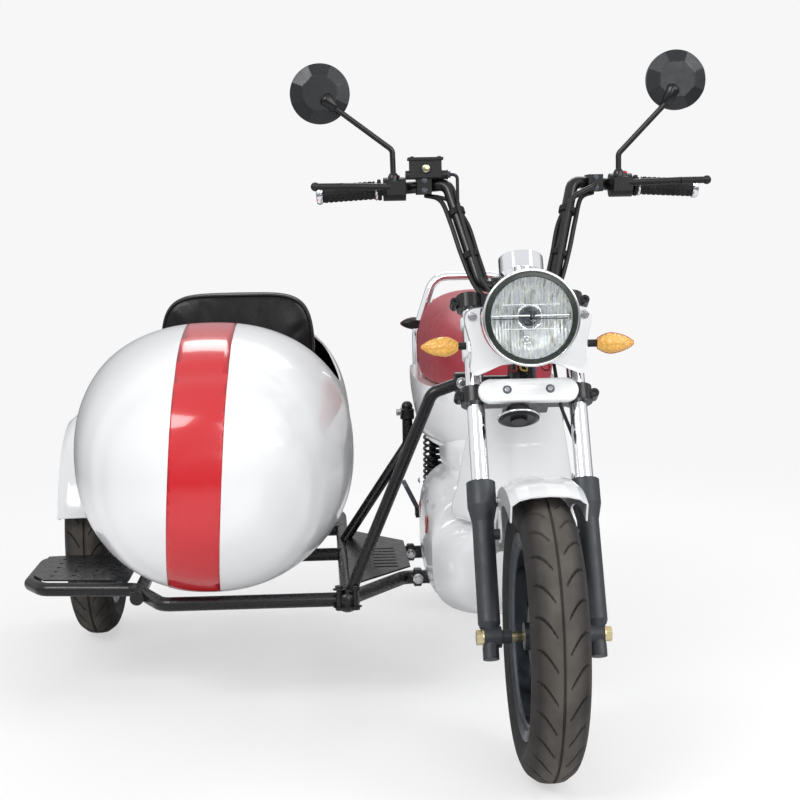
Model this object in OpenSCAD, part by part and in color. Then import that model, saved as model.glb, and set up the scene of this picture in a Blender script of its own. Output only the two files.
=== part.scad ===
// Electric motorcycle with sidecar: a step-through electric bike, its raked front fork with round
// headlamp, and a white single-seat sidecar bolted to its right side on a tubular frame.
// Millimetres. Front faces -Y, up is +Z, the sidecar stands on -X.
// Modules are drawn from the ground point under the front axle, with the axles 230 up; place() then
// puts zero at the middle of the footprint and the tyres on the ground.

/* [Wheels] */
// distance between front and rear axle
wheelbase = 1270; // [1200:1:1340]
// outside diameter of all three tyres
tyre_od = 460; // [445:1:470]
// widest part of a tyre
tyre_w = 90; // [80:1:96]
// height of a tyre's section above its rim
tyre_h = 70; // [62:1:76]
// side distance from the bike's middle to the sidecar wheel
sidecar_track = 845; // [835:1:880]
// distance of the sidecar axle behind the front axle
sidecar_axle_y = 1088; // [1070:1:1110]

/* [Fork] */
// lean of the fork and the steering axis from upright, in degrees
rake = 27.5; // [26:0.1:29]
// distance from the steering axis forward to the fork tubes
fork_offset = 32; // [28:1:36]
// side distance from the middle to a fork leg
leg_x = 86; // [84:1:90]
// diameter of the bright fork tubes
fork_tube_d = 30; // [28:0.5:32]
// diameter of the dark lower legs
slider_d = 36; // [35:0.5:40]
// diameter of the wheel axles
axle_d = 15; // [12:0.5:17]

/* [Handlebar] */
// side distance from the middle to a grip's end
bar_half = 340; // [320:1:350]
// height of the grips
bar_z = 946; // [930:1:960]
// diameter of the handlebar tube
bar_d = 22; // [21:0.5:24]
// diameter of the round mirrors
mirror_d = 106; // [90:1:112]
// diameter of the headlamp rim
lamp_d = 160; // [150:1:164]

/* [Body] */
// thickness of moulded skins
skin = 4; // [3:0.5:5]
// height of the line where the seat lies on the body
seat_base_z = 566; // [560:1:572]
// half width of the belly cover
belly_half = 157; // [150:1:160]
// diameter of the passenger rail tube
rail_d = 20; // [16:1:22]

/* [Sidecar] */
// diameter of the sidecar frame tubes
chassis_d = 26; // [24:1:30]
// height of the sidecar frame tubes
chassis_z = 212; // [208:1:220]
// width of the red stripe
stripe_w = 94; // [80:1:110]
// diameter of the struts that tie the sidecar to the bike
strut_d = 22; // [20:1:25]

/* [Fits] */
// running clearance of a turning shaft in its bore, on the radius
run = 0.05; // [0.02:0.01:0.1]
// clearance of a fixed piece in its seat
seat_gap = 0.05; // [0.02:0.01:0.1]

/* [Hidden] */
$fn = 64;
tyre_r = tyre_od / 2;
rim_r = tyre_r - tyre_h;
axle_z = 230;
hub_half = 58;
hub_right = 32;
disc_r = rim_r - 65;
collar_in = 52;
slider_in = leg_x - slider_d / 2;
guard_r = tyre_r + 22;
guard_half = 60;
low_yoke_s = 396;
low_yoke_h = 28;
top_yoke_s = 570;
top_yoke_h = 26;
stem_r = 13;
stay_s = 170;
fork_back = 290;
body_span = 980;
tub_right = -286;
tub_span = 559;
tub_floor = chassis_z + chassis_d / 2 + 0.3;
side_x = -sidecar_track;
origin_x = -286;
origin_y = wheelbase / 2;

// Colours
white = [0.93, 0.93, 0.92];
black = [0.06, 0.06, 0.06];
charcoal = [0.16, 0.16, 0.17];
chrome = [0.80, 0.81, 0.83];
alloy = [0.36, 0.37, 0.39];
red = [0.78, 0.05, 0.07];
amber = [0.95, 0.45, 0.05];
rubber = [0.20, 0.18, 0.17];

// Helpers
function unit(v) = v / norm(v);
function sgn(v) = v < 0 ? -1 : 1;

// y of a point behind the fork, which moves with the wheelbase
function lay(y) = fork_back + (y - fork_back) * (wheelbase - fork_back) / body_span;

// x of a point on the sidecar, which moves with the sidecar's track
function span(x) = tub_right + (x - tub_right) * (sidecar_track + tub_right) / tub_span;

// point of the fork's own frame: side, behind the leg, up the leg
function fork_at(x, t, s) =
  [x, t * cos(rake) + s * sin(rake), axle_z - t * sin(rake) + s * cos(rake)];

// turns the child's Z onto the line from a to b
module along(a, b) {
  d = b - a;
  translate(a)
    rotate([0, acos(d[2] / norm(d)), atan2(d[1], d[0])])
      children();
}

// round rod from a to b
module rod(a, b, r) {
  along(a, b)
    cylinder(h = norm(b - a), r = r);
}

// ball at p
module sphere_at(p, r) {
  translate(p)
    sphere(r = r);
}

// round bar along X from x0 to x1
module cross_bar(x0, x1, y, z, r) {
  translate([x0, y, z])
    rotate([0, 90, 0])
      cylinder(h = x1 - x0, r = r);
}

// points of a bend of radius bend at corner c, in k steps
function bend_points(a, c, b, bend, k) =
  let (u = unit(c - a), v = unit(b - c), turn = acos(u * v), n = unit(v - u * cos(turn)),
    o = c - u * bend * tan(turn / 2) + n * bend)
  [for (i = [0 : k]) o + bend * (u * sin(turn * i / k) - n * cos(turn * i / k))];

// corner points p with every inner corner rounded
function rounded(p, bend, k) = concat([p[0]],
  [for (i = [1 : len(p) - 2]) each bend_points(p[i - 1], p[i], p[i + 1], bend, k)],
  [p[len(p) - 1]]);

// ring of n points around path point i
function tube_ring(q, i, r, n) =
  let (t = unit(q[min(i + 1, len(q) - 1)] - q[max(i - 1, 0)]),
    e = unit(cross(t, [0.36, 0.48, 0.8])), g = cross(t, e))
  [for (j = [0 : n - 1]) q[i] + r * (e * cos(360 * j / n) - g * sin(360 * j / n))];

// tube through the points p with bends at its inner corners
module bent_tube(p, r, bend, n = 12, k = 4) {
  q = rounded(p, bend, k);
  skin_over([for (i = [0 : len(q) - 1]) tube_ring(q, i, r, n)]);
}

// smooth row between rows b and c of a station table
function blend(a, b, c, d, t) =
  0.5 * (2 * b + (c - a) * t + (2 * a - 5 * b + 4 * c - d) * t * t
  + (3 * b - a - 3 * c + d) * t * t * t);

// station table with k smooth steps between its rows
function fine(t, k) = [
  for (i = [0 : len(t) - 2])
    for (j = [0 : k - 1])
      blend(t[max(i - 1, 0)], t[i], t[i + 1], t[min(i + 2, len(t) - 1)], j / k),
  t[len(t) - 1]
];

// closed skin over rings of equally many points, which run along +Y
module skin_over(rings) {
  n = len(rings[0]);
  m = len(rings);
  pts = [for (q = rings) for (p = q) p];
  sides = [
    for (i = [0 : m - 2])
      for (j = [0 : n - 1])
        [i * n + j, i * n + (j + 1) % n, (i + 1) * n + (j + 1) % n, (i + 1) * n + j]
  ];
  front = [for (j = [0 : n - 1]) n - 1 - j];
  back = [for (j = [0 : n - 1]) (m - 1) * n + j];
  polyhedron(points = pts, faces = concat(sides, [front], [back]));
}

// ring of n points for the station row [y, left x, right x, bottom z, top z, squareness]
function ring(s, n, in) = [
  for (i = [0 : n - 1])
    let (a = 360 * i / n, c = cos(a), k = sin(a))
      [(s[1] + s[2]) / 2 + ((s[2] - s[1]) / 2 - in) * sgn(c) * pow(abs(c), 2 / s[5]),
       s[0],
       (s[3] + s[4]) / 2 + ((s[4] - s[3]) / 2 - in) * sgn(k) * pow(abs(k), 2 / s[5])]
];

// body through the station table t, drawn in by in
module loft(t, k, n, in = 0) {
  skin_over([for (s = fine(t, k)) ring(s, n, in)]);
}

// moves the fork's own frame to the front axle: Z runs up the leg, +Y is behind it
module fork_frame() {
  translate([0, 0, axle_z])
    rotate([-rake, 0, 0])
      children();
}

// children on both sides of the bike
module both_sides() {
  children();
  mirror([1, 0, 0])
    children();
}

// ring around the X axis from a half profile drawn as [radius, x]
module wheel_ring(profile) {
  rotate([0, 90, 0])
    rotate_extrude()
      polygon(profile);
}

// Wheels
module tyre() {
  h = tyre_w / 2;
  crown = tyre_r;
  color(rubber)
    wheel_ring([
      [rim_r + seat_gap, -30], [rim_r + 6, -33], [rim_r + 16, -h + 5], [rim_r + 30, -h],
      [crown - 30, -h + 2], [crown - 16, -h + 9], [crown - 7, -h + 20], [crown - 2, -16],
      [crown, -5], [crown, 5], [crown - 2, 16], [crown - 7, h - 20], [crown - 16, h - 9],
      [crown - 30, h - 2], [rim_r + 30, h], [rim_r + 16, h - 5], [rim_r + 6, 33],
      [rim_r + seat_gap, 30]
    ]);
}

module rim_barrel() {
  wheel_ring([
    [rim_r - 14, -26], [rim_r, -30], [rim_r + 5, -33.5], [rim_r + 5, -37], [rim_r - 2, -38],
    [rim_r - 12, -34], [rim_r - 20, -22], [rim_r - 22, 0], [rim_r - 20, 22], [rim_r - 12, 34],
    [rim_r - 2, 38], [rim_r + 5, 37], [rim_r + 5, 33.5], [rim_r, 30]
  ]);
  wheel_ring([[rim_r - 22, -30], [rim_r, -30], [rim_r, 30], [rim_r - 22, 30]]);
}

// cast wheel with five pairs of spokes; its hub runs from -right to the disc side
module cast_rim(right) {
  color(alloy)
    difference() {
      union() {
        rim_barrel();
        cross_bar(-right, hub_half, 0, 0, 22);
        cross_bar(-right + 12, hub_half - 30, 0, 0, 52);
        for (i = [0 : 4])
          for (a = [-12, 12])
            rotate([72 * i + a, 0, 0])
              translate([-11, -8, 44])
                cube([22, 16, rim_r - 60]);
      }
      cross_bar(-right - 1, hub_half + 1, 0, 0, axle_d / 2 + run);
    }
}

module front_tyre() {
  translate([0, 0, axle_z])
    tyre();
}

module front_rim() {
  translate([0, 0, axle_z])
    cast_rim(hub_right);
}

module brake_disc() {
  color(chrome)
    translate([0, 0, axle_z])
      difference() {
        union() {
          cross_bar(44, 48, 0, 0, disc_r);
          cross_bar(hub_half - 30 + seat_gap, 44, 0, 0, 40);
        }
        cross_bar(20, 49, 0, 0, 22 + seat_gap);
        for (i = [0 : 11])
          rotate([30 * i, 0, 0])
            cross_bar(43, 49, 0, disc_r - 12, 4);
        for (i = [0 : 5])
          rotate([60 * i + 15, 0, 0])
            cross_bar(43, 49, 0, 57, 12);
      }
}

module rear_tyre() {
  translate([0, wheelbase, axle_z])
    tyre();
}

module rear_hub() {
  color(alloy)
    translate([0, wheelbase, axle_z])
      difference() {
        union() {
          rim_barrel();
          cross_bar(-46, 46, 0, 0, rim_r - 42);
          cross_bar(-hub_half, hub_half, 0, 0, 48);
          for (i = [0 : 9])
            rotate([36 * i, 0, 0])
              translate([-16, -11, rim_r - 50])
                cube([32, 22, 36]);
        }
        cross_bar(-hub_half - 1, hub_half + 1, 0, 0, axle_d / 2 + run);
      }
}

module sidecar_tyre() {
  translate([side_x, sidecar_axle_y, axle_z])
    tyre();
}

module sidecar_rim() {
  translate([side_x, sidecar_axle_y, axle_z])
    cast_rim(hub_half);
}

// Axle with a hex nut at both ends and a spacer up to the hub
module axle(half, nut_in) {
  cross_bar(-half, half, 0, 0, axle_d / 2);
  for (k = [-1, 1])
    translate([k * nut_in, 0, 0])
      rotate([0, 90 * k, 0]) {
        cylinder(h = 2, r = axle_d / 2 + 7);
        cylinder(h = 12, r = axle_d / 2 + 5, $fn = 6);
      }
}

// Fork, drawn in the fork's own frame
module front_axle() {
  color([0.72, 0.66, 0.42])
    translate([0, 0, axle_z]) {
      axle(leg_x + 22, leg_x + 10);
      cross_bar(hub_half + 0.4, slider_in, 0, 0, 13);
      cross_bar(-collar_in, -hub_right - 0.4, 0, 0, 8.3);
    }
}

module fork_sliders() {
  color(charcoal)
    fork_frame()
      difference() {
        union() {
          both_sides() {
            translate([leg_x, 0, -36])
              cylinder(h = 60, d = slider_d - 10);
            translate([leg_x, 0, 8])
              cylinder(h = 14, d1 = slider_d - 10, d2 = slider_d);
            translate([leg_x, 0, 22])
              cylinder(h = 203, d = slider_d);
            translate([leg_x, 0, 190])
              cylinder(h = 27, d1 = slider_d, d2 = slider_d + 12);
            translate([leg_x, 0, 217])
              cylinder(h = 41, d = slider_d + 12);
            cross_bar(slider_in, leg_x + 10, 0, 0, 17);
            cross_bar(guard_half + seat_gap, leg_x, 0, stay_s, 9);
          }
          cross_bar(-slider_in - 4, -collar_in - seat_gap, 0, 0, 11);
        }
        both_sides() {
          translate([leg_x, 0, 130])
            cylinder(h = 200, r = fork_tube_d / 2 + seat_gap);
          cross_bar(leg_x + 10, leg_x + 40, 0, 0, axle_d / 2 + 9);
        }
        cross_bar(-leg_x - 40, leg_x + 40, 0, 0, axle_d / 2 + seat_gap);
      }
}

module fork_tubes() {
  color(chrome)
    fork_frame()
      both_sides()
        translate([leg_x, 0, 130])
          cylinder(h = top_yoke_s + top_yoke_h - 130, d = fork_tube_d);
}

module yoke(s, h, ring_r) {
  difference() {
    union() {
      both_sides() {
        translate([leg_x, 0, s])
          cylinder(h = h, r = ring_r);
        translate([leg_x + ring_r + 3, 11, s + h / 2])
          rotate([90, 0, 0])
            cylinder(h = 22, r = 8);
      }
      translate([0, fork_offset, s])
        cylinder(h = h, r = 27);
      translate([-leg_x, -13, s])
        cube([2 * leg_x, 30, h]);
      translate([-38, 0, s])
        cube([76, fork_offset + 10, h]);
    }
    both_sides() {
      translate([leg_x, 0, s - 1])
        cylinder(h = h + 2, r = fork_tube_d / 2 + seat_gap);
      translate([leg_x + ring_r + 3, 20, s + h / 2])
        rotate([90, 0, 0])
          cylinder(h = 40, r = 3.3);
    }
  }
}

module fork_yokes() {
  color(black)
    difference() {
      union() {
        fork_frame() {
          yoke(low_yoke_s, low_yoke_h, 25);
          yoke(top_yoke_s, top_yoke_h, 23);
          translate([0, fork_offset, low_yoke_s])
            cylinder(h = top_yoke_s - low_yoke_s + 10, r = stem_r);
          both_sides()
            translate([34, 17, top_yoke_s + top_yoke_h - 4])
              cylinder(h = 30, r = 11);
        }
        both_sides()
          cross_bar(24, 44, bar_low[1], bar_low[2], 18);
      }
      bent_tube(bar_pts, bar_d / 2 + seat_gap, bar_bend);
    }
}

module front_fender() {
  r = guard_r;
  color(white)
    translate([0, 0, axle_z])
      rotate([0, 90, 0])
        rotate([0, 0, 90 + 22])
          rotate_extrude(angle = 88)
            polygon([
              [r - 44, -guard_half], [r - 14, -guard_half], [r - 4, -guard_half + 12],
              [r + 1, -guard_half + 30], [r + 3, 0], [r + 1, guard_half - 30],
              [r - 4, guard_half - 12], [r - 14, guard_half], [r - 44, guard_half],
              [r - 44, guard_half - 3], [r - 15, guard_half - 3], [r - 6.5, guard_half - 14],
              [r - 2, guard_half - 31], [r, 0], [r - 2, -guard_half + 31],
              [r - 6.5, -guard_half + 14], [r - 15, -guard_half + 3], [r - 44, -guard_half + 3]
            ]);
  color(white)
    fork_frame()
      both_sides() {
        translate([guard_half - 3, -15, stay_s])
          cube([3, 30, guard_r - 12 - stay_s]);
        cross_bar(guard_half - 3, guard_half, 0, stay_s, 15);
      }
}

module brake_caliper() {
  color(black)
    fork_frame()
      difference() {
        union() {
          translate([34, 58, 20])
            cube([30, 40, 58]);
          translate([58, 0, 40])
            cube([18, 70, 26]);
          cross_bar(27, 34, 78, 49, 16);
        }
        translate([42, 50, 10])
          cube([8, 45, 80]);
        translate([leg_x, 0, -40])
          cylinder(h = 200, d = slider_d + 2 * seat_gap);
      }
}

// Headlamp and what sits around it
lamp_y = 113;
lamp_z = 730;

module lamp_frame() {
  translate([0, lamp_y, lamp_z])
    rotate([90, 0, 0])
      children();
}

module lamp_shell() {
  r = lamp_d / 2;
  color(chrome)
    lamp_frame()
      rotate_extrude()
        polygon([
          [0, -102], [22, -100], [46, -88], [64, -66], [r - 6, -30], [r - 3, -12], [r, -8],
          [r, 2], [r - 4, 6], [r - 9, 4], [r - 9, -6], [r - 12, -28], [60, -60], [42, -80],
          [20, -92], [0, -94]
        ]);
  color(chrome)
    both_sides()
      cross_bar(lamp_d / 2 - 20, lamp_d / 2 - 4.8, lamp_y + 55, lamp_z, 9);
}

module lamp_lens() {
  r = lamp_d / 2 - 9 - seat_gap;
  color([0.85, 0.88, 0.9])
    lamp_frame()
      rotate_extrude()
        polygon([[0, 12], [30, 10], [54, 5], [r, -2], [r, -6], [54, 1], [30, 6], [0, 8]]);
}

// side plates that hold the lamp: outline seen from the front, and the clamps on the fork tube
ear_y = 148;
ear_depth = 30;
ear_clamps = [488, 545];
ear_line = [[76, lamp_z + 16], [103, lamp_z + 12], [107, lamp_z - 8], [100, lamp_z - 46],
  [94, lamp_z - 75], [89, lamp_z - 96], [22, lamp_z - 92], [22, lamp_z], [76, lamp_z]];

module lamp_bracket() {
  color(white)
    both_sides()
      difference() {
        union() {
          translate([0, ear_y + ear_depth, 0])
            rotate([90, 0, 0])
              linear_extrude(height = ear_depth)
                difference() {
                  polygon(ear_line);
                  translate([0, lamp_z])
                    circle(r = lamp_d / 2 - 4);
                }
          for (s = ear_clamps) {
            p = fork_at(leg_x, 0, s);
            fork_frame()
              translate([leg_x, 0, s - 9])
                cylinder(h = 18, r = 21);
            translate([leg_x - 7, ear_y + ear_depth - 4, p[2] - 8])
              cube([14, p[1] - ear_y - ear_depth + 4, 16]);
          }
        }
        fork_frame()
          translate([leg_x, 0, low_yoke_s])
            cylinder(h = 200, r = fork_tube_d / 2 + seat_gap);
        translate([93, ear_y - 1, lamp_z + 2])
          rotate([-90, 0, 0])
            cylinder(h = 8, r = 4);
      }
}

// flat oval: two circles of radius r, l apart, and what lies between them
module pill(l, r) {
  square([l, 2 * r], center = true);
  for (k = [-1, 1])
    translate([k * l / 2, 0])
      circle(r = r);
}

module yoke_cover() {
  color(white)
    fork_frame()
      translate([0, -25.3, low_yoke_s + 12])
        rotate([90, 0, 0])
          difference() {
            union() {
              linear_extrude(height = 9)
                pill(126, 21);
              linear_extrude(height = 12)
                pill(126, 17.5);
            }
            translate([0, 0, 11])
              linear_extrude(height = 2)
                pill(30, 9);
            for (k = [-1, 1])
              translate([36 * k, 0, 9])
                cylinder(h = 4, r = 7);
          }
}

module horn() {
  color(black) {
    translate([-17, 158, 562])
      rotate([150, 0, 0])
        rotate_extrude()
          polygon([
            [0, -18], [18, -18], [24, -8], [30, -3], [35, 0], [35, 3], [28, 6], [14, 4], [14, 9],
            [0, 9]
          ]);
    fork_frame()
      translate([-17, -4, low_yoke_s - 22])
        cylinder(h = 21.7, r = 5);
  }
}

module speedometer() {
  color(chrome)
    fork_frame()
      translate([0, -52, top_yoke_s + top_yoke_h + 0.2]) {
        translate([-15, -8, 0])
          cube([30, 62, 4]);
        translate([0, 0, 4])
          rotate_extrude()
            polygon([[0, 0], [30, 0], [38, 10], [38, 40], [34, 40], [34, 36], [0, 36]]);
      }
}

// turn signal: station rows of its leaf form, and where its root is
leaf_rows = [[0, -7, 7, -8, 8, 2.2], [8, -11, 11, -13, 13, 2.2], [22, -13, 13, -17, 17, 2.1],
  [40, -11, 11, -14, 14, 2], [54, -6, 6, -8, 8, 2], [62, -1.5, 1.5, -2, 2, 2]];
signal = [116, 165, 682];

// half of a turn signal that points to +X: side -1 is its front half, 1 its back half
module leaf(p, side, size) {
  translate(p)
    scale([size, size, size])
      intersection() {
        rotate([0, 0, -90])
          loft(leaf_rows, 1, 20);
        translate([-1, side < 0 ? -40 : 0.1, -40])
          cube([80, 39.9, 80]);
      }
}

module front_signal_stalks() {
  color(black)
    both_sides() {
      leaf(signal, 1, 1);
      cross_bar(101.8, signal[0] + 6, signal[1] + 7, signal[2], 6.3);
    }
}

module front_signal_lenses() {
  color(amber)
    both_sides()
      leaf(signal, -1, 1);
}

// Handlebar and its controls
bar_low = [62, 303, 775];
bar_bend = 22;
bar_pts = [[-bar_half, 424, bar_z - 4], [-178, 425, bar_z + 5], [-112, 388, bar_z + 9],
  [-bar_low[0], bar_low[1], bar_low[2]], bar_low, [112, 388, bar_z + 9], [178, 425, bar_z + 5],
  [bar_half, 424, bar_z - 4]];

module handlebar() {
  color(black)
    bent_tube(bar_pts, bar_d / 2, bar_bend);
}

module grips() {
  a = bar_pts[6];
  b = bar_pts[7];
  u = unit(b - a);
  color(rubber)
    both_sides()
      difference() {
        union() {
          rod(a + u * 50, b + u * 5, 16);
          rod(a + u * 50, a + u * 56, 19);
          rod(b - u * 4, b + u * 5, 17.5);
        }
        rod(a, b, bar_d / 2 + seat_gap);
      }
}

module bar_controls() {
  color(black)
    difference() {
      union() {
        both_sides() {
          cross_bar(184, 224, 425, bar_z + 3, 21);
          translate([186, 384, bar_z - 8])
            cube([34, 40, 24]);
          rod([206, 392, bar_z + 6], [300, 364, bar_z + 8], 6);
          rod([300, 364, bar_z + 8], [346, 357, bar_z + 8], 6);
          sphere_at([300, 364, bar_z + 8], 6.3);
          sphere_at([346, 357, bar_z + 8], 8);
          translate([140, 382, bar_z - 8])
            cube([26, 48, 30]);
        }
        translate([-178, 378, bar_z + 21])
          cube([56, 36, 31]);
        translate([-181, 375, bar_z + 52])
          cube([62, 42, 5]);
        cross_bar(-186, -112, 386, bar_z + 26, 8);
      }
      bent_tube(bar_pts, bar_d / 2 + seat_gap, bar_bend);
    }
}

// mirror arms: foot, knee, end of the arm and middle of the glass
mirror_points = [
  [[-207, 396, bar_z + 16.3], [-208, 396, bar_z + 71], [-309, 392, bar_z + 147],
    [-334, 400, bar_z + 172]],
  [[196, 396, bar_z + 16.3], [196, 396, bar_z + 58], [283, 392, bar_z + 148],
    [301, 400, bar_z + 187]]
];

module mirrors() {
  color(black)
    for (m = mirror_points) {
      rod(m[0], m[0] + [0, 0, 14], 8);
      rod(m[0], m[1], 5);
      rod(m[1], m[2], 5);
      sphere_at(m[1], 5.2);
      along(m[2], m[3] - [0, 6, 0])
        cylinder(h = norm(m[3] - [0, 6, 0] - m[2]), r1 = 7, r2 = 11);
      translate(m[3])
        rotate([-90, 0, 0])
          difference() {
            union() {
              cylinder(h = 14, d = mirror_d);
              translate([0, 0, -12])
                cylinder(h = 12, d1 = mirror_d - 44, d2 = mirror_d - 5, $fn = 7);
            }
            translate([0, 0, 10])
              cylinder(h = 10, d = mirror_d - 6);
          }
    }
}

module mirror_glass() {
  color(chrome)
    for (m = mirror_points)
      translate(m[3])
        rotate([-90, 0, 0])
          translate([0, 0, 10])
            cylinder(h = 3, d = mirror_d - 6 - 2 * seat_gap);
}

// brake hose from the lever to the caliper, and the wiring from the bar into the lamp
hose_pts = [[-111.8, 386, bar_z + 26], [-94, 386, bar_z + 26], [-97, 348, bar_z - 28],
  [-66, 289, 790], fork_at(-50, -24, 590), fork_at(-45, -26, 530), fork_at(45, -26, 480),
  fork_at(52, -19, 412), fork_at(54, -20, 382), fork_at(82, 33, 335), fork_at(86, 31, 250),
  fork_at(86, 27, 150), fork_at(56, 78, 112), fork_at(56, 78, 78.3)];
loom_pts = [[148, 381.7, bar_z + 2], [148, 366, bar_z + 2], [112, 352, bar_z - 14],
  [100, 348, bar_z - 28], [66, 289, 790], fork_at(50, -24, 590), [22, 240, 742], [12, 216.2, 735]];

module control_cables() {
  color(black) {
    bent_tube(hose_pts, 3, 9, 8, 2);
    bent_tube(loom_pts, 4.5, 9, 8, 2);
  }
}

// Bike frame and body
down_pts = [[0, 272, 668], [0, 335, 540], [0, 350, 420], [0, lay(430), 330], [0, lay(800), 330]];
rail_end_z = axle_z + guard_r + 26;

// height of the seat rails over the rear wheel
function rail_z(y) = lookup(y, [[lay(1000), 466], [lay(1290), rail_end_z]]);

seat_rail_pts = [[70, lay(800), 300], [70, lay(850), 425], [70, lay(1000), 466],
  [70, lay(1290), rail_end_z]];
tail_y = lay(1240);
lug_x = 140;
foot_hinge = [148, lay(800), 297];
pivot_y = lay(862);
pivot_z = 300;
shock_top = [91, lay(1185), rail_z(lay(1185))];
shock_low = [93, wheelbase - 45, axle_z + 45 * (pivot_z - axle_z) / (wheelbase - pivot_y)];
lug_front_y = lay(560);
lug_rear_y = lay(808);
strut_y = lay(950);

module main_frame() {
  color(black)
    difference() {
      union() {
        fork_frame()
          translate([0, fork_offset, low_yoke_s + low_yoke_h + 1])
            cylinder(h = top_yoke_s - low_yoke_s - low_yoke_h - 2, r = 23);
        bent_tube(down_pts, 20, 70);
        for (z = [480, 540])
          translate([0, 330, z])
            rotate([90, 0, 0])
              cylinder(h = 329.4 - shield_back(z), r = 8);
        cross_bar(-lug_x, lug_x, lug_front_y, chassis_z, 12);
        translate([-14, lug_front_y - 12, chassis_z])
          cube([28, 24, 330 - chassis_z]);
        cross_bar(-foot_hinge[0] + 12, foot_hinge[0] - 12, foot_hinge[1], foot_hinge[2], 12);
        cross_bar(-lug_x, 60, lug_rear_y, chassis_z, 12);
        translate([-40, lug_rear_y - 20, chassis_z])
          cube([80, 24, 342 - chassis_z]);
        both_sides() {
          translate([46, lay(790), pivot_z - 16])
            cube([10, pivot_y + 14 - lay(790), 40]);
          bent_tube(seat_rail_pts, 12, 50);
          for (y = [-17, 11])
            translate([foot_hinge[0] - 14, foot_hinge[1] + y, foot_hinge[2] - 9])
              cube([23, 6, 18]);
          translate([foot_hinge[0], foot_hinge[1] - 17, foot_hinge[2]])
            rotate([-90, 0, 0])
              cylinder(h = 34, r = 4);
          cross_bar(70, shock_top[0] + 11, shock_top[1], shock_top[2], 6);
        }
        cross_bar(-70, 70, tail_y, rail_z(tail_y), 9);
        cross_bar(-151, -70, strut_y, 452, 10);
      }
      fork_frame()
        translate([0, fork_offset, low_yoke_s])
          cylinder(h = 220, r = stem_r + run);
      cross_bar(-90, 90, pivot_y, pivot_z, 10 + seat_gap);
    }
}

// front cover rows: z, half width, y of the middle, depth of the wings
shield_rows = [[352, 60, 300, 40], [364, 111, 296, 92], [420, 102, 291, 80], [480, 92, 288, 66],
  [540, 80, 286, 48], [585, 70, 285, 38]];

// y of the front cover's back at height z, on the middle line
function shield_back(z) = lookup(z, [for (s = shield_rows) [s[0], s[2]]]) + skin;

function shield_ring(s, n) = concat(
  [for (i = [0 : n]) let (q = -1 + 2 * i / n) [s[1] * q, s[2] + s[3] * pow(abs(q), 2.2), s[0]]],
  [for (i = [0 : n]) let (q = 1 - 2 * i / n)
    [s[1] * q * 0.97, s[2] + skin + s[3] * pow(abs(q), 2.2), s[0]]]);

// closed skin over flat crescent rings, which run along +Z
module strip_skin(rings) {
  n = len(rings[0]);
  m = len(rings);
  h = n / 2;
  b = (m - 1) * n;
  pts = [for (q = rings) for (p = q) p];
  sides = [
    for (i = [0 : m - 2])
      for (j = [0 : n - 1])
        [(i + 1) * n + j, (i + 1) * n + (j + 1) % n, i * n + (j + 1) % n, i * n + j]
  ];
  low = [for (j = [0 : h - 2]) [j, j + 1, n - 2 - j, n - 1 - j]];
  top = [for (j = [0 : h - 2]) [b + n - 1 - j, b + n - 2 - j, b + j + 1, b + j]];
  polyhedron(points = pts, faces = concat(sides, low, top));
}

// raised panel on the front cover: z and half width
panel_rows = [[372, 44], [382, 50], [482, 50], [494, 46], [500, 38]];

// front cover row at the height z, for a panel of half width w that stands out by 1.6
function panel_row(z, w) =
  let (h = lookup(z, [for (s = shield_rows) [s[0], s[1]]]),
    d = lookup(z, [for (s = shield_rows) [s[0], s[3]]]))
  [z, w, shield_back(z) - skin - 1.6, d * pow(w / h, 2.2)];

module leg_shield() {
  color(white) {
    strip_skin([for (s = shield_rows) shield_ring(s, 16)]);
    strip_skin([for (p = panel_rows) shield_ring(panel_row(p[0], p[1]), 8)]);
  }
}

belly_rows = [[290, -40, 40, 240, 340, 2.4], [300, -90, 90, 215, 350, 2.6],
  [lay(330), -120, 120, 190, 352, 2.8], [lay(400), -146, 146, 172, 354, 3.2],
  [lay(420), -150, 150, 168, 404, 3.2], [lay(500), -belly_half, belly_half, 162, 420, 3.4],
  [lay(640), -belly_half, belly_half, 162, 422, 3.4], [lay(740), -150, 150, 170, 420, 3.2],
  [lay(770), -130, 130, 190, 405, 3]];

module belly_cover() {
  color(white)
    difference() {
      loft(belly_rows, 2, 32);
      bent_tube(down_pts, 20 + seat_gap, 70);
      cross_bar(-lug_x - 1, belly_half + 10, lug_front_y, chassis_z, 12 + seat_gap);
      cross_bar(-belly_half - 10, -lug_x, lug_front_y, chassis_z, chassis_d / 2 + 0.5);
      translate([-15, lug_front_y - 13, chassis_z - 10])
        cube([30, 26, 130]);
      translate([-121, lay(600), 180])
        cube([242, lay(740) - lay(600), 121]);
    }
}

module battery_block() {
  color(charcoal)
    translate([-120, lay(600) + 1, 180])
      cube([240, lay(740) - lay(600) - 2, 120]);
}

body_rows = [[lay(570), -70, 70, 436, 570, 2.6], [lay(600), -105, 105, 430, 585, 2.8],
  [lay(700), -138, 138, 428, 600, 3], [lay(800), -149, 149, 430, 606, 3.2],
  [lay(950), -150, 150, 462, 612, 3.2], [lay(1100), -146, 146, rail_z(lay(1100)) + 5.5, 616, 3],
  [tail_y, -136, 136, rail_z(tail_y) + 5, 616, 3], [lay(1310), -104, 104, rail_end_z + 12, 606, 2.8]];

// narrow white body between the belly and the saddle
waist_rows = [[lay(562), -84, 84, 398, 476, 3.4], [lay(600), -104, 104, 396, 484, 3.6],
  [lay(700), -110, 110, 396, 484, 4], [lay(775), -106, 106, 398, 484, 3.6],
  [lay(800), -90, 90, 408, 478, 3.2]];

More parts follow.
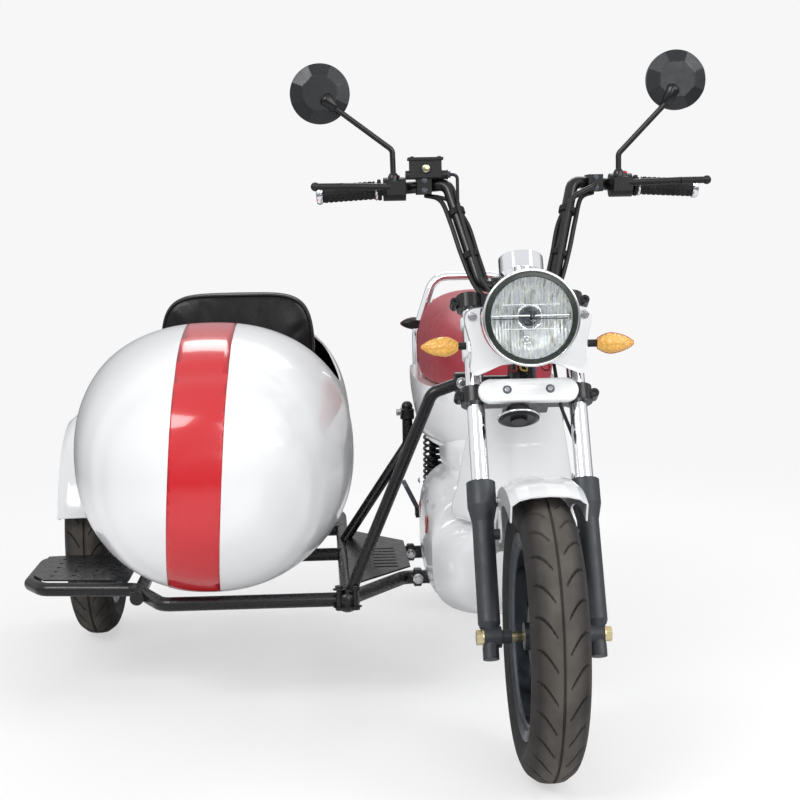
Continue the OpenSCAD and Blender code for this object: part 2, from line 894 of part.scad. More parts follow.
module rear_body() {
  color(white)
    difference() {
      union() {
        loft(body_rows, 2, 32);
        difference() {
          loft(waist_rows, 1, 24);
          loft(belly_rows, 2, 32, -0.4);
        }
      }
      translate([-300, 300, seat_base_z])
        cube([600, 1400, 200]);
      both_sides() {
        bent_tube(seat_rail_pts, 12 + seat_gap, 50);
        cross_bar(70, 200, shock_top[1], shock_top[2], 18);
      }
      cross_bar(-70, 70, tail_y, rail_z(tail_y), 9 + seat_gap);
      cross_bar(-200, -70, strut_y, 452, 10 + seat_gap);
    }
}

seat_rows = [[lay(600), -50, 50, 540, 625, 2.4], [lay(625), -85, 85, 520, 668, 2.6],
  [lay(700), -116, 116, 510, 704, 2.8], [lay(820), -134, 134, 506, 730, 3],
  [lay(960), -138, 138, 506, 742, 3], [lay(1080), -126, 126, 508, 744, 3],
  [lay(1160), -104, 104, 516, 738, 2.8], [lay(1212), -70, 70, 540, 712, 2.4]];

module seat() {
  color([0.55, 0.07, 0.09])
    difference() {
      loft(seat_rows, 2, 32);
      translate([-300, 300, seat_base_z - 200])
        cube([600, 1400, 200]);
    }
}

rail_pts = [[-122, tail_y, seat_base_z + 0.3], [-122, tail_y, 640], [-80, tail_y + 10, 768],
  [80, tail_y + 10, 768], [122, tail_y, 640], [122, tail_y, seat_base_z + 0.3]];

module grab_rail() {
  color(chrome)
    bent_tube(rail_pts, rail_d / 2, 45);
}

plate_y = wheelbase + 190 * guard_r / 252;
plate_z = axle_z + 215 * guard_r / 252;
plate_hole_x = 100;
plate_hole_z = 70;
plate_hole_r = 3.25;

module rear_fender() {
  r = guard_r;
  color(black)
    translate([0, wheelbase, axle_z])
      rotate([0, 90, 0])
        rotate([0, 0, 122])
          rotate_extrude(angle = 95)
            polygon([
              [r - 40, -guard_half], [r - 10, -guard_half], [r, -guard_half + 14],
              [r + 2, 0], [r, guard_half - 14], [r - 10, guard_half], [r - 40, guard_half],
              [r - 40, guard_half - 3], [r - 11, guard_half - 3], [r - 3, guard_half - 16],
              [r - 1, 0], [r - 3, -guard_half + 16], [r - 11, -guard_half + 3],
              [r - 40, -guard_half + 3]
            ]);
  color(black)
    difference() {
      union() {
        translate([-75, plate_y, plate_z - 50])
          cube([150, 3, 100]);
        translate([-20, plate_y - 60, plate_z - 15])
          cube([40, 61, 15]);
      }
      for (x = [-1, 1])
        for (z = [-1, 1])
          translate([x * plate_hole_x / 2, plate_y - 1, plate_z + z * plate_hole_z / 2])
            rotate([-90, 0, 0])
              cylinder(h = 5, r = plate_hole_r);
    }
  color(black)
    difference() {
      translate([-15, tail_y - 14, axle_z + guard_r - 4])
        cube([30, 28, rail_z(tail_y) - axle_z - guard_r + 4]);
      cross_bar(-70, 70, tail_y, rail_z(tail_y), 9 + seat_gap);
    }
}

module tail_lamp() {
  color(red)
    intersection() {
      translate([0, lay(1282), rail_end_z + 16])
        cylinder(h = 40, r = 62);
      translate([-60, lay(1310), rail_end_z - 8])
        cube([120, 80, 100]);
    }
}

rear_signal = [108, tail_y + 28, 660];

module rear_signal_stalks() {
  color(black)
    both_sides()
      difference() {
        union() {
          leaf(rear_signal, -1, 0.8);
          translate([106, tail_y - 14, rear_signal[2] - 9])
            cube([26, 41.8, 18]);
        }
        bent_tube(rail_pts, rail_d / 2 + 0.3, 45);
      }
}

module rear_signal_lenses() {
  color(amber)
    both_sides()
      leaf(rear_signal, 1, 0.8);
}

arm_x = 74;

module swingarm() {
  color(black)
    difference() {
      union() {
        both_sides() {
          rod([arm_x, pivot_y, pivot_z], [arm_x, wheelbase, axle_z], 12);
          cross_bar(arm_x - 12, arm_x + 12, wheelbase, axle_z, 20);
          cross_bar(arm_x, shock_low[0] + 10, shock_low[1], shock_low[2], 6);
        }
        cross_bar(-arm_x, arm_x, pivot_y, pivot_z, 10);
      }
      cross_bar(-120, 120, wheelbase, axle_z, axle_d / 2 + seat_gap);
    }
}

module rear_axle() {
  color([0.72, 0.66, 0.42])
    translate([0, wheelbase, axle_z]) {
      axle(arm_x + 24, arm_x + 12);
      for (k = [-1, 1])
        translate([k * (hub_half + 0.4), 0, 0])
          rotate([0, 90 * k, 0])
            cylinder(h = arm_x - 12 - hub_half - 0.4, r = 13);
    }
}

// coil spring around the line from a along u, between the heights h0 and h1
module spring(a, u, h0, h1, r, wire, turns) {
  e = unit(cross(u, [1, 0, 0]));
  g = cross(u, e);
  n = 9 * turns;
  q = [for (i = [0 : n])
    a + u * (h0 + (h1 - h0) * i / n) + r * (e * cos(40 * i) + g * sin(40 * i))];
  skin_over([for (i = [0 : n]) tube_ring(q, i, wire, 5)]);
}

module rear_shocks() {
  a = shock_low;
  b = shock_top;
  u = unit(b - a);
  l = norm(b - a);
  color(chrome)
    both_sides()
      difference() {
        union() {
          rod(a, b, 7);
          rod(a + u * 40, b - u * 40, 13);
          rod(a + u * 38, a + u * 46, 23);
          rod(b - u * 62, b - u * 50, 23);
          spring(a, u, 43, l - 56, 19, 3.2, 11);
          cross_bar(shock_low[0] - 6.5, shock_low[0] + 8, a[1], a[2], 13);
          cross_bar(shock_top[0] - 8.5, shock_top[0] + 9, b[1], b[2], 13);
        }
        cross_bar(60, 120, a[1], a[2], 6 + seat_gap);
        cross_bar(60, 120, b[1], b[2], 6 + seat_gap);
      }
}

// Footrests that fold on their carrier
module footrest() {
  h = foot_hinge;
  difference() {
    union() {
      translate([h[0], h[1] - 10, h[2]])
        rotate([-90, 0, 0])
          cylinder(h = 20, r = 9);
      along(h, h + [32, 0, 65]) {
        translate([-4.5, -9, 0])
          cube([9, 18, 24]);
        translate([-4.5, -15, 21])
          cube([9, 30, 38]);
        translate([-4.5, 0, 59])
          rotate([0, 90, 0])
            cylinder(h = 9, r = 15);
      }
    }
    translate([h[0], h[1] - 20, h[2]])
      rotate([-90, 0, 0])
        cylinder(h = 40, r = 4 + run);
  }
}

module left_footrest() {
  color(alloy)
    footrest();
}

module right_footrest() {
  color(alloy)
    mirror([1, 0, 0])
      footrest();
}

// Sidecar
knee = [-306, 385, chassis_z];
loop_x = span(-912);
rail_x = span(-692);

// tubes of the sidecar frame, grown by grow
module chassis_tubes(grow) {
  z = chassis_z;
  r = chassis_d / 2 + grow;
  bent_tube([[-lug_x - 0.2, lug_front_y, z], [-194, lug_front_y, z], knee, [span(-640), 385, z],
    [span(-702), 520, z], [span(-880), 545, z], [loop_x, 600, z], [loop_x, lug_rear_y - 20, z],
    [span(-864), lug_rear_y, z], [span(-745), lug_rear_y, z]], r, 26);
  bent_tube([knee, [-306, 1300, z], [rail_x, 1300, z], [rail_x, 440, z]], r, 50);
  cross_bar(span(-755), -lug_x - 0.2, lug_rear_y, z, r + 0.1);
  cross_bar(rail_x, -306, sidecar_axle_y, z, r);
}

module sidecar_frame() {
  color(black)
    difference() {
      union() {
        chassis_tubes(0);
        for (y = [lug_front_y, lug_rear_y])
          cross_bar(-176, -160, y, chassis_z, chassis_d / 2 + 5);
        translate([span(-730), sidecar_axle_y - 22, 200])
          cube([span(-682) - span(-730), 44, 52]);
      }
      cross_bar(span(-800), span(-600), sidecar_axle_y, axle_z, 13 + seat_gap);
    }
}

module sidecar_floor() {
  color(black)
    translate([0, 0, chassis_z + chassis_d / 2 + 0.2])
      linear_extrude(height = 3)
        difference() {
          union() {
            polygon([[-300, lug_rear_y + 198], [-180, lug_rear_y + 47], [-180, lug_front_y + 31],
              [-300, 432]]);
            polygon([[loop_x + 6, 604], [span(-880), 556], [span(-716), 534],
              [span(-716), lug_rear_y - 6], [loop_x + 6, lug_rear_y - 20]]);
          }
          for (i = [0 : 6])
            translate([-250, lug_front_y + 24 + 30 * i])
              square([46, 10]);
          for (i = [0 : 3])
            for (j = [0 : 4])
              translate([span(-868) + 40 * i, 590 + 40 * j])
                circle(r = 7, $fn = 3);
        }
}

module sidecar_struts() {
  color(black)
    difference() {
      union() {
        bent_tube([[-302, 381, 222], [-150, 322, 590], [-98, 322, 608], [-10, 316, 608]],
          strut_d / 2, 24);
        bent_tube([[-304, strut_y - 51, 222], [-162, strut_y, 420], [-162, strut_y, 500]],
          strut_d / 2, 20);
        sphere_at(knee, 24);
        for (x = [-15, 15])
          translate([knee[0] + x, knee[1] - 18, chassis_z - 32])
            cylinder(h = 58, r = 4.5);
      }
      chassis_tubes(seat_gap);
      bent_tube(down_pts, 20 + seat_gap, 70);
      translate([-310, 420, chassis_z])
        cube([60, 700, chassis_d / 2 + 3.4]);
    }
}

tub_rows = [[258, span(-572), span(-520), 424, 476, 2], [262, span(-600), span(-492), 394, 506, 2],
  [275, span(-650), span(-442), 340, 560, 2.1], [310, span(-708), span(-386), 282, 606, 2.15],
  [345, span(-738), span(-352), 252, 632, 2.2], [380, span(-762), span(-330), 234, 660, 2.2],
  [450, span(-792), span(-304), 223, 686, 2.2], [560, span(-814), tub_right, 215, 704, 2.25],
  [680, span(-818), tub_right, 215, 708, 2.3], [770, span(-798), tub_right, 223, 708, 2.35],
  [800, span(-786), tub_right, tub_floor, 708, 2.4], [840, span(-772), tub_right, tub_floor, 707, 2.4],
  [1000, span(-752), tub_right, tub_floor, 704, 2.4],
  [1100, span(-742), span(-291), tub_floor, 699, 2.4],
  [1200, span(-728), span(-310), 238, 684, 2.35], [1290, span(-704), span(-336), 258, 660, 2.3],
  [1380, span(-656), span(-390), 294, 610, 2.2], [1418, span(-604), span(-446), 346, 552, 2.1],
  [1428, span(-556), span(-494), 414, 484, 2]];

opening_line = [[612, 900], [612, 692], [622, 642], [650, 606], [700, 584], [760, 576], [840, 588],
  [930, 610], [1000, 624], [1060, 638], [1090, 662], [1104, 900]];

// what the cockpit takes out of the tub's skin
module cockpit_cut() {
  translate([span(-1000), 0, 0])
    rotate([90, 0, 90])
      linear_extrude(height = sidecar_track)
        polygon(opening_line);
}

module sidecar_tub() {
  color(white)
    difference() {
      loft(tub_rows, 2, 40);
      intersection() {
        loft(tub_rows, 1, 32, skin);
        translate([span(-1000), 270, 100])
          cube([sidecar_track, 1146, 800]);
      }
      cockpit_cut();
    }
}

// middle of the red stripe at the height z
function stripe_x(z) = span(-549 - (700 - z) * 0.068);

module tub_stripe() {
  w = stripe_w / 2;
  color(red)
    difference() {
      intersection() {
        loft(tub_rows, 2, 40, -1);
        translate([0, 700, 0])
          rotate([90, 0, 0])
            linear_extrude(height = 500)
              polygon([[stripe_x(300) - w, 300], [stripe_x(300) + w, 300],
                [stripe_x(760) + w, 760], [stripe_x(760) - w, 760]]);
      }
      loft(tub_rows, 2, 40);
      cockpit_cut();
    }
}

seat_left = span(-690);
seat_right = span(-348);

module sidecar_seat() {
  color(black)
    intersection() {
      union() {
        loft([[720, seat_left, seat_right, 150, 400, 4], [750, seat_left - 20, seat_right + 18, 150, 420, 5],
          [940, seat_left - 20, seat_right + 18, 150, 410, 5], [980, seat_left, seat_right, 150, 400, 4]],
          2, 28);
        loft([[930, seat_left + 6, seat_right - 6, 260, 690, 4], [955, seat_left, seat_right, 250, 756, 4],
          [1000, seat_left, seat_right, 250, 762, 4],
          [1026, seat_left + 14, seat_right - 14, 280, 744, 3]], 2, 28);
      }
      union() {
        loft(tub_rows, 1, 32, skin + 0.3);
        translate([seat_left - 1, 925, 560])
          cube([seat_right - seat_left + 2, 105, 300]);
      }
    }
}

module sidecar_mudguard() {
  r = guard_r;
  h = 52;
  color(white)
    difference() {
      translate([side_x, sidecar_axle_y, axle_z]) {
        rotate([0, 90, 0])
          rotate([0, 0, 90 + 15])
            rotate_extrude(angle = 150)
              polygon([
                [r - 30, -h], [r - 10, -h], [r + 2, -h + 14], [r + 6, 0], [r + 2, h - 14],
                [r - 10, h], [r - 30, h], [r - 30, h - 3], [r - 11, h - 3], [r - 1, h - 16],
                [r + 3, 0], [r - 1, -h + 16], [r - 11, -h + 3], [r - 30, -h + 3]
              ]);
        for (a = [-24, 24])
          rotate([a, 0, 0])
            cross_bar(h - 2, h + 60, 0, r - 20, 8);
      }
      loft(tub_rows, 2, 40, -seat_gap);
    }
}

module sidecar_axle() {
  color(black)
    translate([side_x, sidecar_axle_y, axle_z]) {
      cross_bar(-hub_half - 14, span(-686) - side_x, 0, 0, axle_d / 2);
      cross_bar(-hub_half - 14, -hub_half - 0.5, 0, 0, 14);
      cross_bar(hub_half + 0.5, span(-686) - side_x, 0, 0, 13);
    }
}

module place() {
  translate([-origin_x, -origin_y, tyre_r - axle_z])
    children();
}

place() main_frame();
place() leg_shield();
place() belly_cover();
place() battery_block();
place() rear_body();
place() seat();
place() grab_rail();
place() rear_fender();
place() tail_lamp();
place() rear_signal_stalks();
place() rear_signal_lenses();
place() swingarm();
place() rear_shocks();
place() rear_axle();
place() sidecar_frame();
place() sidecar_floor();
place() sidecar_struts();
place() sidecar_tub();
place() tub_stripe();
place() sidecar_seat();
place() sidecar_mudguard();
place() sidecar_axle();
place() right_footrest();
place() left_footrest();
place() fork_yokes();
place() fork_tubes();
place() fork_sliders();
place() front_axle();
place() front_fender();
place() lamp_bracket();
place() lamp_shell();
place() lamp_lens();
place() yoke_cover();
place() horn();
place() speedometer();
place() front_signal_stalks();
place() front_signal_lenses();
place() handlebar();
place() grips();
place() bar_controls();
place() mirrors();
place() mirror_glass();
place() brake_caliper();
place() control_cables();
place() front_tyre();
place() front_rim();
place() brake_disc();
place() rear_tyre();
place() rear_hub();
place() sidecar_tyre();
place() sidecar_rim();
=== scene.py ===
"""Looks of an electric motorcycle with sidecar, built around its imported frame."""
import math
from contextlib import contextmanager

import bmesh
import bpy
from mathutils import Matrix, Vector
from mathutils.kdtree import KDTree


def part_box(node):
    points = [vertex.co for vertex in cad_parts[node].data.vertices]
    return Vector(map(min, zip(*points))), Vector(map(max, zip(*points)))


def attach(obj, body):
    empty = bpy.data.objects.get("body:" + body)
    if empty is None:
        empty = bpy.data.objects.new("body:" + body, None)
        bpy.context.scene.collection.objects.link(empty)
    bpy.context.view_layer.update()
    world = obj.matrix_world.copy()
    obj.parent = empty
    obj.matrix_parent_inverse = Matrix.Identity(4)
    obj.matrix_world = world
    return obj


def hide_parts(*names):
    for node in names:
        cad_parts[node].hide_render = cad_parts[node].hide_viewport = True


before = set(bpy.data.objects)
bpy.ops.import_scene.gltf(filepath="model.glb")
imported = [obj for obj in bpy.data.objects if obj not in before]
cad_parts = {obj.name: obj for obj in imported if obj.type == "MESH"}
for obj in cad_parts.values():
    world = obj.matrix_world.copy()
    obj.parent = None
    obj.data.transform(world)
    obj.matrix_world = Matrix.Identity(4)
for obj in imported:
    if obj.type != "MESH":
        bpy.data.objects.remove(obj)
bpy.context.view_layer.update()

# Places are written in millimetres from the ground under the front axle: x to the rider's left,
# y to the rear, z up.
MM = 0.001
tyre_low, tyre_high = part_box("front_tyre")
GROUND = Vector(((tyre_low.x + tyre_high.x) / 2, (tyre_low.y + tyre_high.y) / 2, 0))
AXLE_Z = (tyre_low.z + tyre_high.z) / 2 / MM
TYRE_R = (tyre_high.z - tyre_low.z) / 2 / MM
RAKE = math.radians(27.5)
FORK_BACK = Vector((0, math.cos(RAKE), -math.sin(RAKE)))
FORK_UP = Vector((0, math.sin(RAKE), math.cos(RAKE)))


def at(x, y, z):
    """Row-frame point, in metres, of a place in millimetres."""
    return GROUND + Vector((x, y, z)) * MM


def place_of(point):
    """Place in millimetres of a row-frame point."""
    return (point - GROUND) / MM


def fork(x, t, s):
    """Place of a point given beside the fork leg: t behind it and s up along it."""
    return Vector((x, 0, AXLE_Z)) + FORK_BACK * t + FORK_UP * s


# Tools that several sections share


def settle(thing, **settings):
    """Gives a thing its settings."""
    for key, value in settings.items():
        setattr(thing, key, value)
    return thing


def new_object(name, data):
    """Object in the scene."""
    obj = bpy.data.objects.new(name, data)
    bpy.context.scene.collection.objects.link(obj)
    return obj


def modify(obj, name, kind, **settings):
    """Modifier on an object, with its settings."""
    return settle(obj.modifiers.new(name, kind), **settings)


def plug(tree, node, sockets):
    """Gives a node's sockets their values, or links where a value is another node's socket."""
    for key, value in sockets.items():
        if isinstance(value, bpy.types.NodeSocket):
            tree.links.new(value, node.inputs[key])
        else:
            node.inputs[key].default_value = value
    return node


def add_node(tree, kind, sockets=None, **settings):
    """New node with its settings, then its sockets."""
    return plug(tree, settle(tree.nodes.new(kind), **settings), sockets or {})


def shader_nodes(tree):
    """Short form of add_node for a tree of shader nodes."""
    def node(kind, sockets=None, **settings):
        return add_node(tree, "ShaderNode" + kind, sockets, **settings)
    return node


def grey(level, blue=1.0):
    """Colour of one level, with its blue raised or lowered."""
    return level, level, level * blue, 1


# Camera, at the photograph's angle
CAM_AT = at(-343.5, -2566.7, 876.7)
CAM_YAW, CAM_PITCH, CAM_ROLL = (math.radians(a) for a in (2.716, -5.877, -1.119))
CAM_LENS = 74.5
CAM_SENSOR = 36


def add_camera():
    data = settle(bpy.data.cameras.new("camera"), lens=CAM_LENS, sensor_width=CAM_SENSOR)
    ahead = Vector((math.sin(CAM_YAW) * math.cos(CAM_PITCH),
                    math.cos(CAM_YAW) * math.cos(CAM_PITCH), math.sin(CAM_PITCH)))
    right = Vector((math.cos(CAM_YAW), -math.sin(CAM_YAW), 0))
    up = right.cross(ahead)
    turned_right = right * math.cos(CAM_ROLL) + up * math.sin(CAM_ROLL)
    turned_up = up * math.cos(CAM_ROLL) - right * math.sin(CAM_ROLL)
    camera = new_object("camera", data)
    camera.matrix_world = Matrix.Translation(CAM_AT) @ Matrix(
        (turned_right, turned_up, -ahead)).transposed().to_4x4()
    bpy.context.scene.camera = camera


# Materials


class Finish:
    """A principled material and the node tools to vary it over the surface."""

    def __init__(self, name, **sockets):
        self.name = name
        self.material = bpy.data.materials.new(name)
        self.material.use_nodes = True
        self.tree = self.material.node_tree
        self.node = shader_nodes(self.tree)
        self.give(**sockets)
        self.place = self.node("TexCoord").outputs["Object"]
        self.normal = None

    def give(self, **sockets):
        """Values or links for the shader's own sockets."""
        plug(self.tree, self.tree.nodes["Principled BSDF"],
             {key.replace("_", " "): value for key, value in sockets.items()})

    def noise(self, scale, detail=4.0, stretch=None):
        place = self.place
        if stretch:
            place = self.node("Mapping", {"Vector": place, "Scale": stretch}).outputs["Vector"]
        sockets = {"Vector": place, "Scale": scale, "Detail": detail}
        return self.node("TexNoise", sockets).outputs["Fac"]

    def cells(self, scale):
        return self.node("TexVoronoi", {"Vector": self.place, "Scale": scale}).outputs["Distance"]

    def waves(self, scale):
        """Bands side by side along X."""
        sockets = {"Vector": self.place, "Scale": scale, "Distortion": 0.6}
        return self.node("TexWave", sockets).outputs["Fac"]

    def around_x(self):
        """Distance of the surface from its own X axis, in metres."""
        flat = self.node("VectorMath", {0: self.place, 1: (0, 1, 1)}, operation="MULTIPLY")
        size = self.node("VectorMath", {0: flat.outputs["Vector"]}, operation="LENGTH")
        return size.outputs["Value"]

    def product(self, a, b):
        return self.node("Math", {0: a, 1: b}, operation="MULTIPLY").outputs[0]

    def spread(self, value, low, high, start=0.3, end=0.7):
        """Value taken from the range start to end into the range low to high."""
        sockets = {"Value": value, "From Min": start, "From Max": end, "To Min": low, "To Max": high}
        return self.node("MapRange", sockets).outputs["Result"]

    def colours(self, value, *stops):
        """Colour that runs through the stops as value goes from 0 to 1."""
        node = self.node("ValToRGB", {"Fac": value})
        ramp = node.color_ramp
        while len(ramp.elements) < len(stops):
            ramp.elements.new(0.5)
        for element, (position, colour) in zip(ramp.elements, stops):
            settle(element, position=position, color=(*colour, 1))
        self.give(Base_Color=node.outputs["Color"])

    def rough(self, value, low, high):
        self.give(Roughness=self.spread(value, low, high))

    def turn(self, node):
        """Takes the surface's direction from a node."""
        self.normal = node.outputs["Normal"]
        self.give(Normal=self.normal)

    def edges(self, radius):
        """Rounds the light on sharp edges."""
        self.turn(self.node("Bevel", {"Radius": radius}, samples=4))

    def bump(self, height, strength, distance):
        sockets = {"Strength": strength, "Distance": distance, "Height": height}
        if self.normal:
            sockets["Normal"] = self.normal
        self.turn(self.node("Bump", sockets))


def paint(name, colour, tint):
    """Glossy lacquer with a faint unevenness."""
    f = Finish(name, Coat_Weight=0.6, Coat_Roughness=0.04)
    f.edges(0.002)
    f.colours(f.noise(3), (0.35, colour), (0.7, tint))
    f.rough(f.noise(5), 0.16, 0.22)
    f.bump(f.noise(40, 2), 0.02, 0.0004)
    return f


def moulded(name, colour, tint, rough, grain, **sockets):
    """Moulded or coated surface with a fine grain."""
    f = Finish(name, **sockets)
    f.edges(0.0012)
    f.colours(f.noise(18), (0.3, colour), (0.75, tint))
    f.rough(f.noise(60), rough - 0.06, rough + 0.08)
    f.bump(f.noise(grain, 3), 0.12, 0.0005)
    return f


def metal(name, colour, tint, rough, stretch=(1, 1, 1)):
    """Bare or plated metal with faint smears."""
    f = Finish(name, Metallic=1.0)
    f.edges(0.0008)
    f.colours(f.noise(12), (0.3, colour), (0.7, tint))
    f.rough(f.noise(35, 5, stretch), rough * 0.7, rough * 1.5)
    f.bump(f.noise(500, 2, stretch), 0.03, 0.0002)
    return f


def rubber(name, colour, dust, scale):
    """Dull rubber with dust in patches."""
    f = Finish(name, Specular_IOR_Level=0.35)
    f.colours(f.noise(scale, 8), (0.25, colour), (0.5, colour), (0.8, dust))
    f.rough(f.noise(30), 0.66, 0.92)
    f.bump(f.noise(420, 4), 0.25, 0.0008)
    return f


def tread_rubber(name, colour, dust):
    """Tyre rubber: dark flanks and cuts, dusty where it runs on the road."""
    f = Finish(name, Specular_IOR_Level=0.35)
    crown = f.spread(f.around_x(), 0.12, 1.0, (TYRE_R - 14) * MM, (TYRE_R - 1) * MM)
    f.colours(f.product(crown, f.spread(f.noise(20, 8), 0.45, 1.0)), (0.0, colour), (0.95, dust))
    f.rough(f.noise(30), 0.62, 0.9)
    f.bump(f.noise(420, 4), 0.22, 0.0008)
    return f


def leather(name, colour, tint, sheen, rough, **sockets):
    """Grained seat cover."""
    f = Finish(name, Sheen_Weight=sheen, Sheen_Roughness=0.4, **sockets)
    f.colours(f.noise(9, 5), (0.3, colour), (0.75, tint))
    f.rough(f.noise(40), rough - 0.06, rough + 0.08)
    f.bump(f.cells(420), 0.2, 0.0007)
    return f


def lens(name, colour, tint, clear):
    """Coloured clear plastic with a moulded pattern."""
    f = Finish(name, Transmission_Weight=clear, IOR=1.5, Coat_Weight=0.5)
    f.colours(f.noise(30), (0.3, colour), (0.7, tint))
    f.rough(f.noise(80), 0.06, 0.14)
    f.bump(f.cells(170), 0.9, 0.003)
    return f


def glass(name):
    """Clear lamp glass with faint flutes."""
    f = Finish(name, Transmission_Weight=1.0, IOR=1.3)
    f.colours(f.noise(8), (0.3, (0.98, 0.99, 0.99)), (0.7, (0.95, 0.97, 0.97)))
    f.rough(f.noise(60), 0.0, 0.03)
    f.bump(f.waves(60), 0.25, 0.001)
    return f


def reflector(name):
    """Silvered bowl in upright flutes; the white, grey, beige and pale blue tones of the flutes are
    painted reflections.
    """
    f = Finish(name, Metallic=0.25)
    # Painted reflections: bands of white, grey, beige and pale blue stand in for what the bowl
    # reflects.
    f.colours(f.noise(1, 3, (230, 40, 34)), (0.34, (0.36, 0.37, 0.33)), (0.44, (0.80, 0.81, 0.76)),
              (0.52, (0.96, 0.97, 0.97)), (0.58, (0.62, 0.68, 0.76)), (0.68, (0.94, 0.95, 0.96)))
    f.rough(f.noise(60), 0.12, 0.3)
    f.bump(f.waves(60), 0.6, 0.002)
    return f


def make_finishes():
    return [
        paint("body_white", (0.86, 0.87, 0.875), (0.835, 0.845, 0.85)),
        paint("stripe_red", (0.62, 0.012, 0.02), (0.56, 0.01, 0.016)),
        moulded("frame_black", (0.006, 0.006, 0.007), (0.010, 0.010, 0.011), 0.26, 700,
                Specular_IOR_Level=0.34, Coat_Weight=0.15, Coat_Roughness=0.1),
        moulded("plastic_black", (0.009, 0.009, 0.010), (0.015, 0.015, 0.016), 0.4,
                900, Specular_IOR_Level=0.32),
        moulded("fork_charcoal", (0.030, 0.034, 0.038), (0.042, 0.046, 0.050), 0.46,
                1100, Metallic=0.3),
        metal("bright_chrome", (0.86, 0.87, 0.89), (0.78, 0.79, 0.81), 0.05),
        metal("alloy_grey", (0.075, 0.085, 0.10), (0.11, 0.12, 0.135), 0.36),
        metal("disc_steel", (0.50, 0.50, 0.51), (0.40, 0.40, 0.41), 0.26, (1, 8, 8)),
        metal("zinc_steel", (0.74, 0.62, 0.34), (0.60, 0.54, 0.38), 0.24),
        tread_rubber("tyre_rubber", (0.016, 0.015, 0.015), (0.098, 0.088, 0.077)),
        rubber("grip_rubber", (0.012, 0.012, 0.013), (0.024, 0.023, 0.023), 22),
        leather("seat_red", (0.40, 0.030, 0.048), (0.33, 0.022, 0.038), 0.0, 0.46),
        leather("seat_black", (0.005, 0.005, 0.006), (0.009, 0.009, 0.010), 0.0, 0.26,
                Specular_IOR_Level=0.22),
        lens("lens_amber", (1.0, 0.60, 0.13), (0.92, 0.44, 0.06), 0.15),
        lens("lens_red", (0.62, 0.01, 0.01), (0.48, 0.01, 0.01), 0.35),
        glass("lamp_glass"),
        metal("mirror_face", (0.92, 0.93, 0.94), (0.88, 0.89, 0.90), 0.02),
        metal("bolt_steel", (0.56, 0.56, 0.57), (0.44, 0.44, 0.46), 0.22),
        reflector("bowl_painted_reflections"),
        # Painted highlight: pale colour for the saddle's seam cord, standing in for the glint along
        # its top edge.
        leather("seam_painted_highlight", (0.80, 0.79, 0.77), (0.70, 0.69, 0.67), 0.1, 0.4),
        moulded("wire_red", (0.55, 0.02, 0.02), (0.42, 0.015, 0.015), 0.4, 800),
        moulded("wire_yellow", (0.75, 0.52, 0.05), (0.62, 0.42, 0.04), 0.4, 800),
        moulded("wire_violet", (0.20, 0.07, 0.36), (0.15, 0.05, 0.28), 0.4, 800),
        moulded("mirror_black", (0.010, 0.011, 0.013), (0.016, 0.017, 0.020), 0.3, 600,
                Specular_IOR_Level=0.4),
        moulded("gasket_green", (0.012, 0.020, 0.014), (0.020, 0.030, 0.022), 0.25, 500),
        moulded("dial_white", (0.80, 0.80, 0.78), (0.72, 0.72, 0.70), 0.5, 900),
    ]


FINISH = {f.name: f.material for f in make_finishes()}


# Shapes

SHARP = 40
CREASE = 25
WELD = 1e-6


def circle(centre, side, other, radius, count):
    """Points around a centre, in the plane of two directions."""
    return [centre + radius * (side * math.cos(a) + other * math.sin(a))
            for a in (math.tau * j / count for j in range(count))]


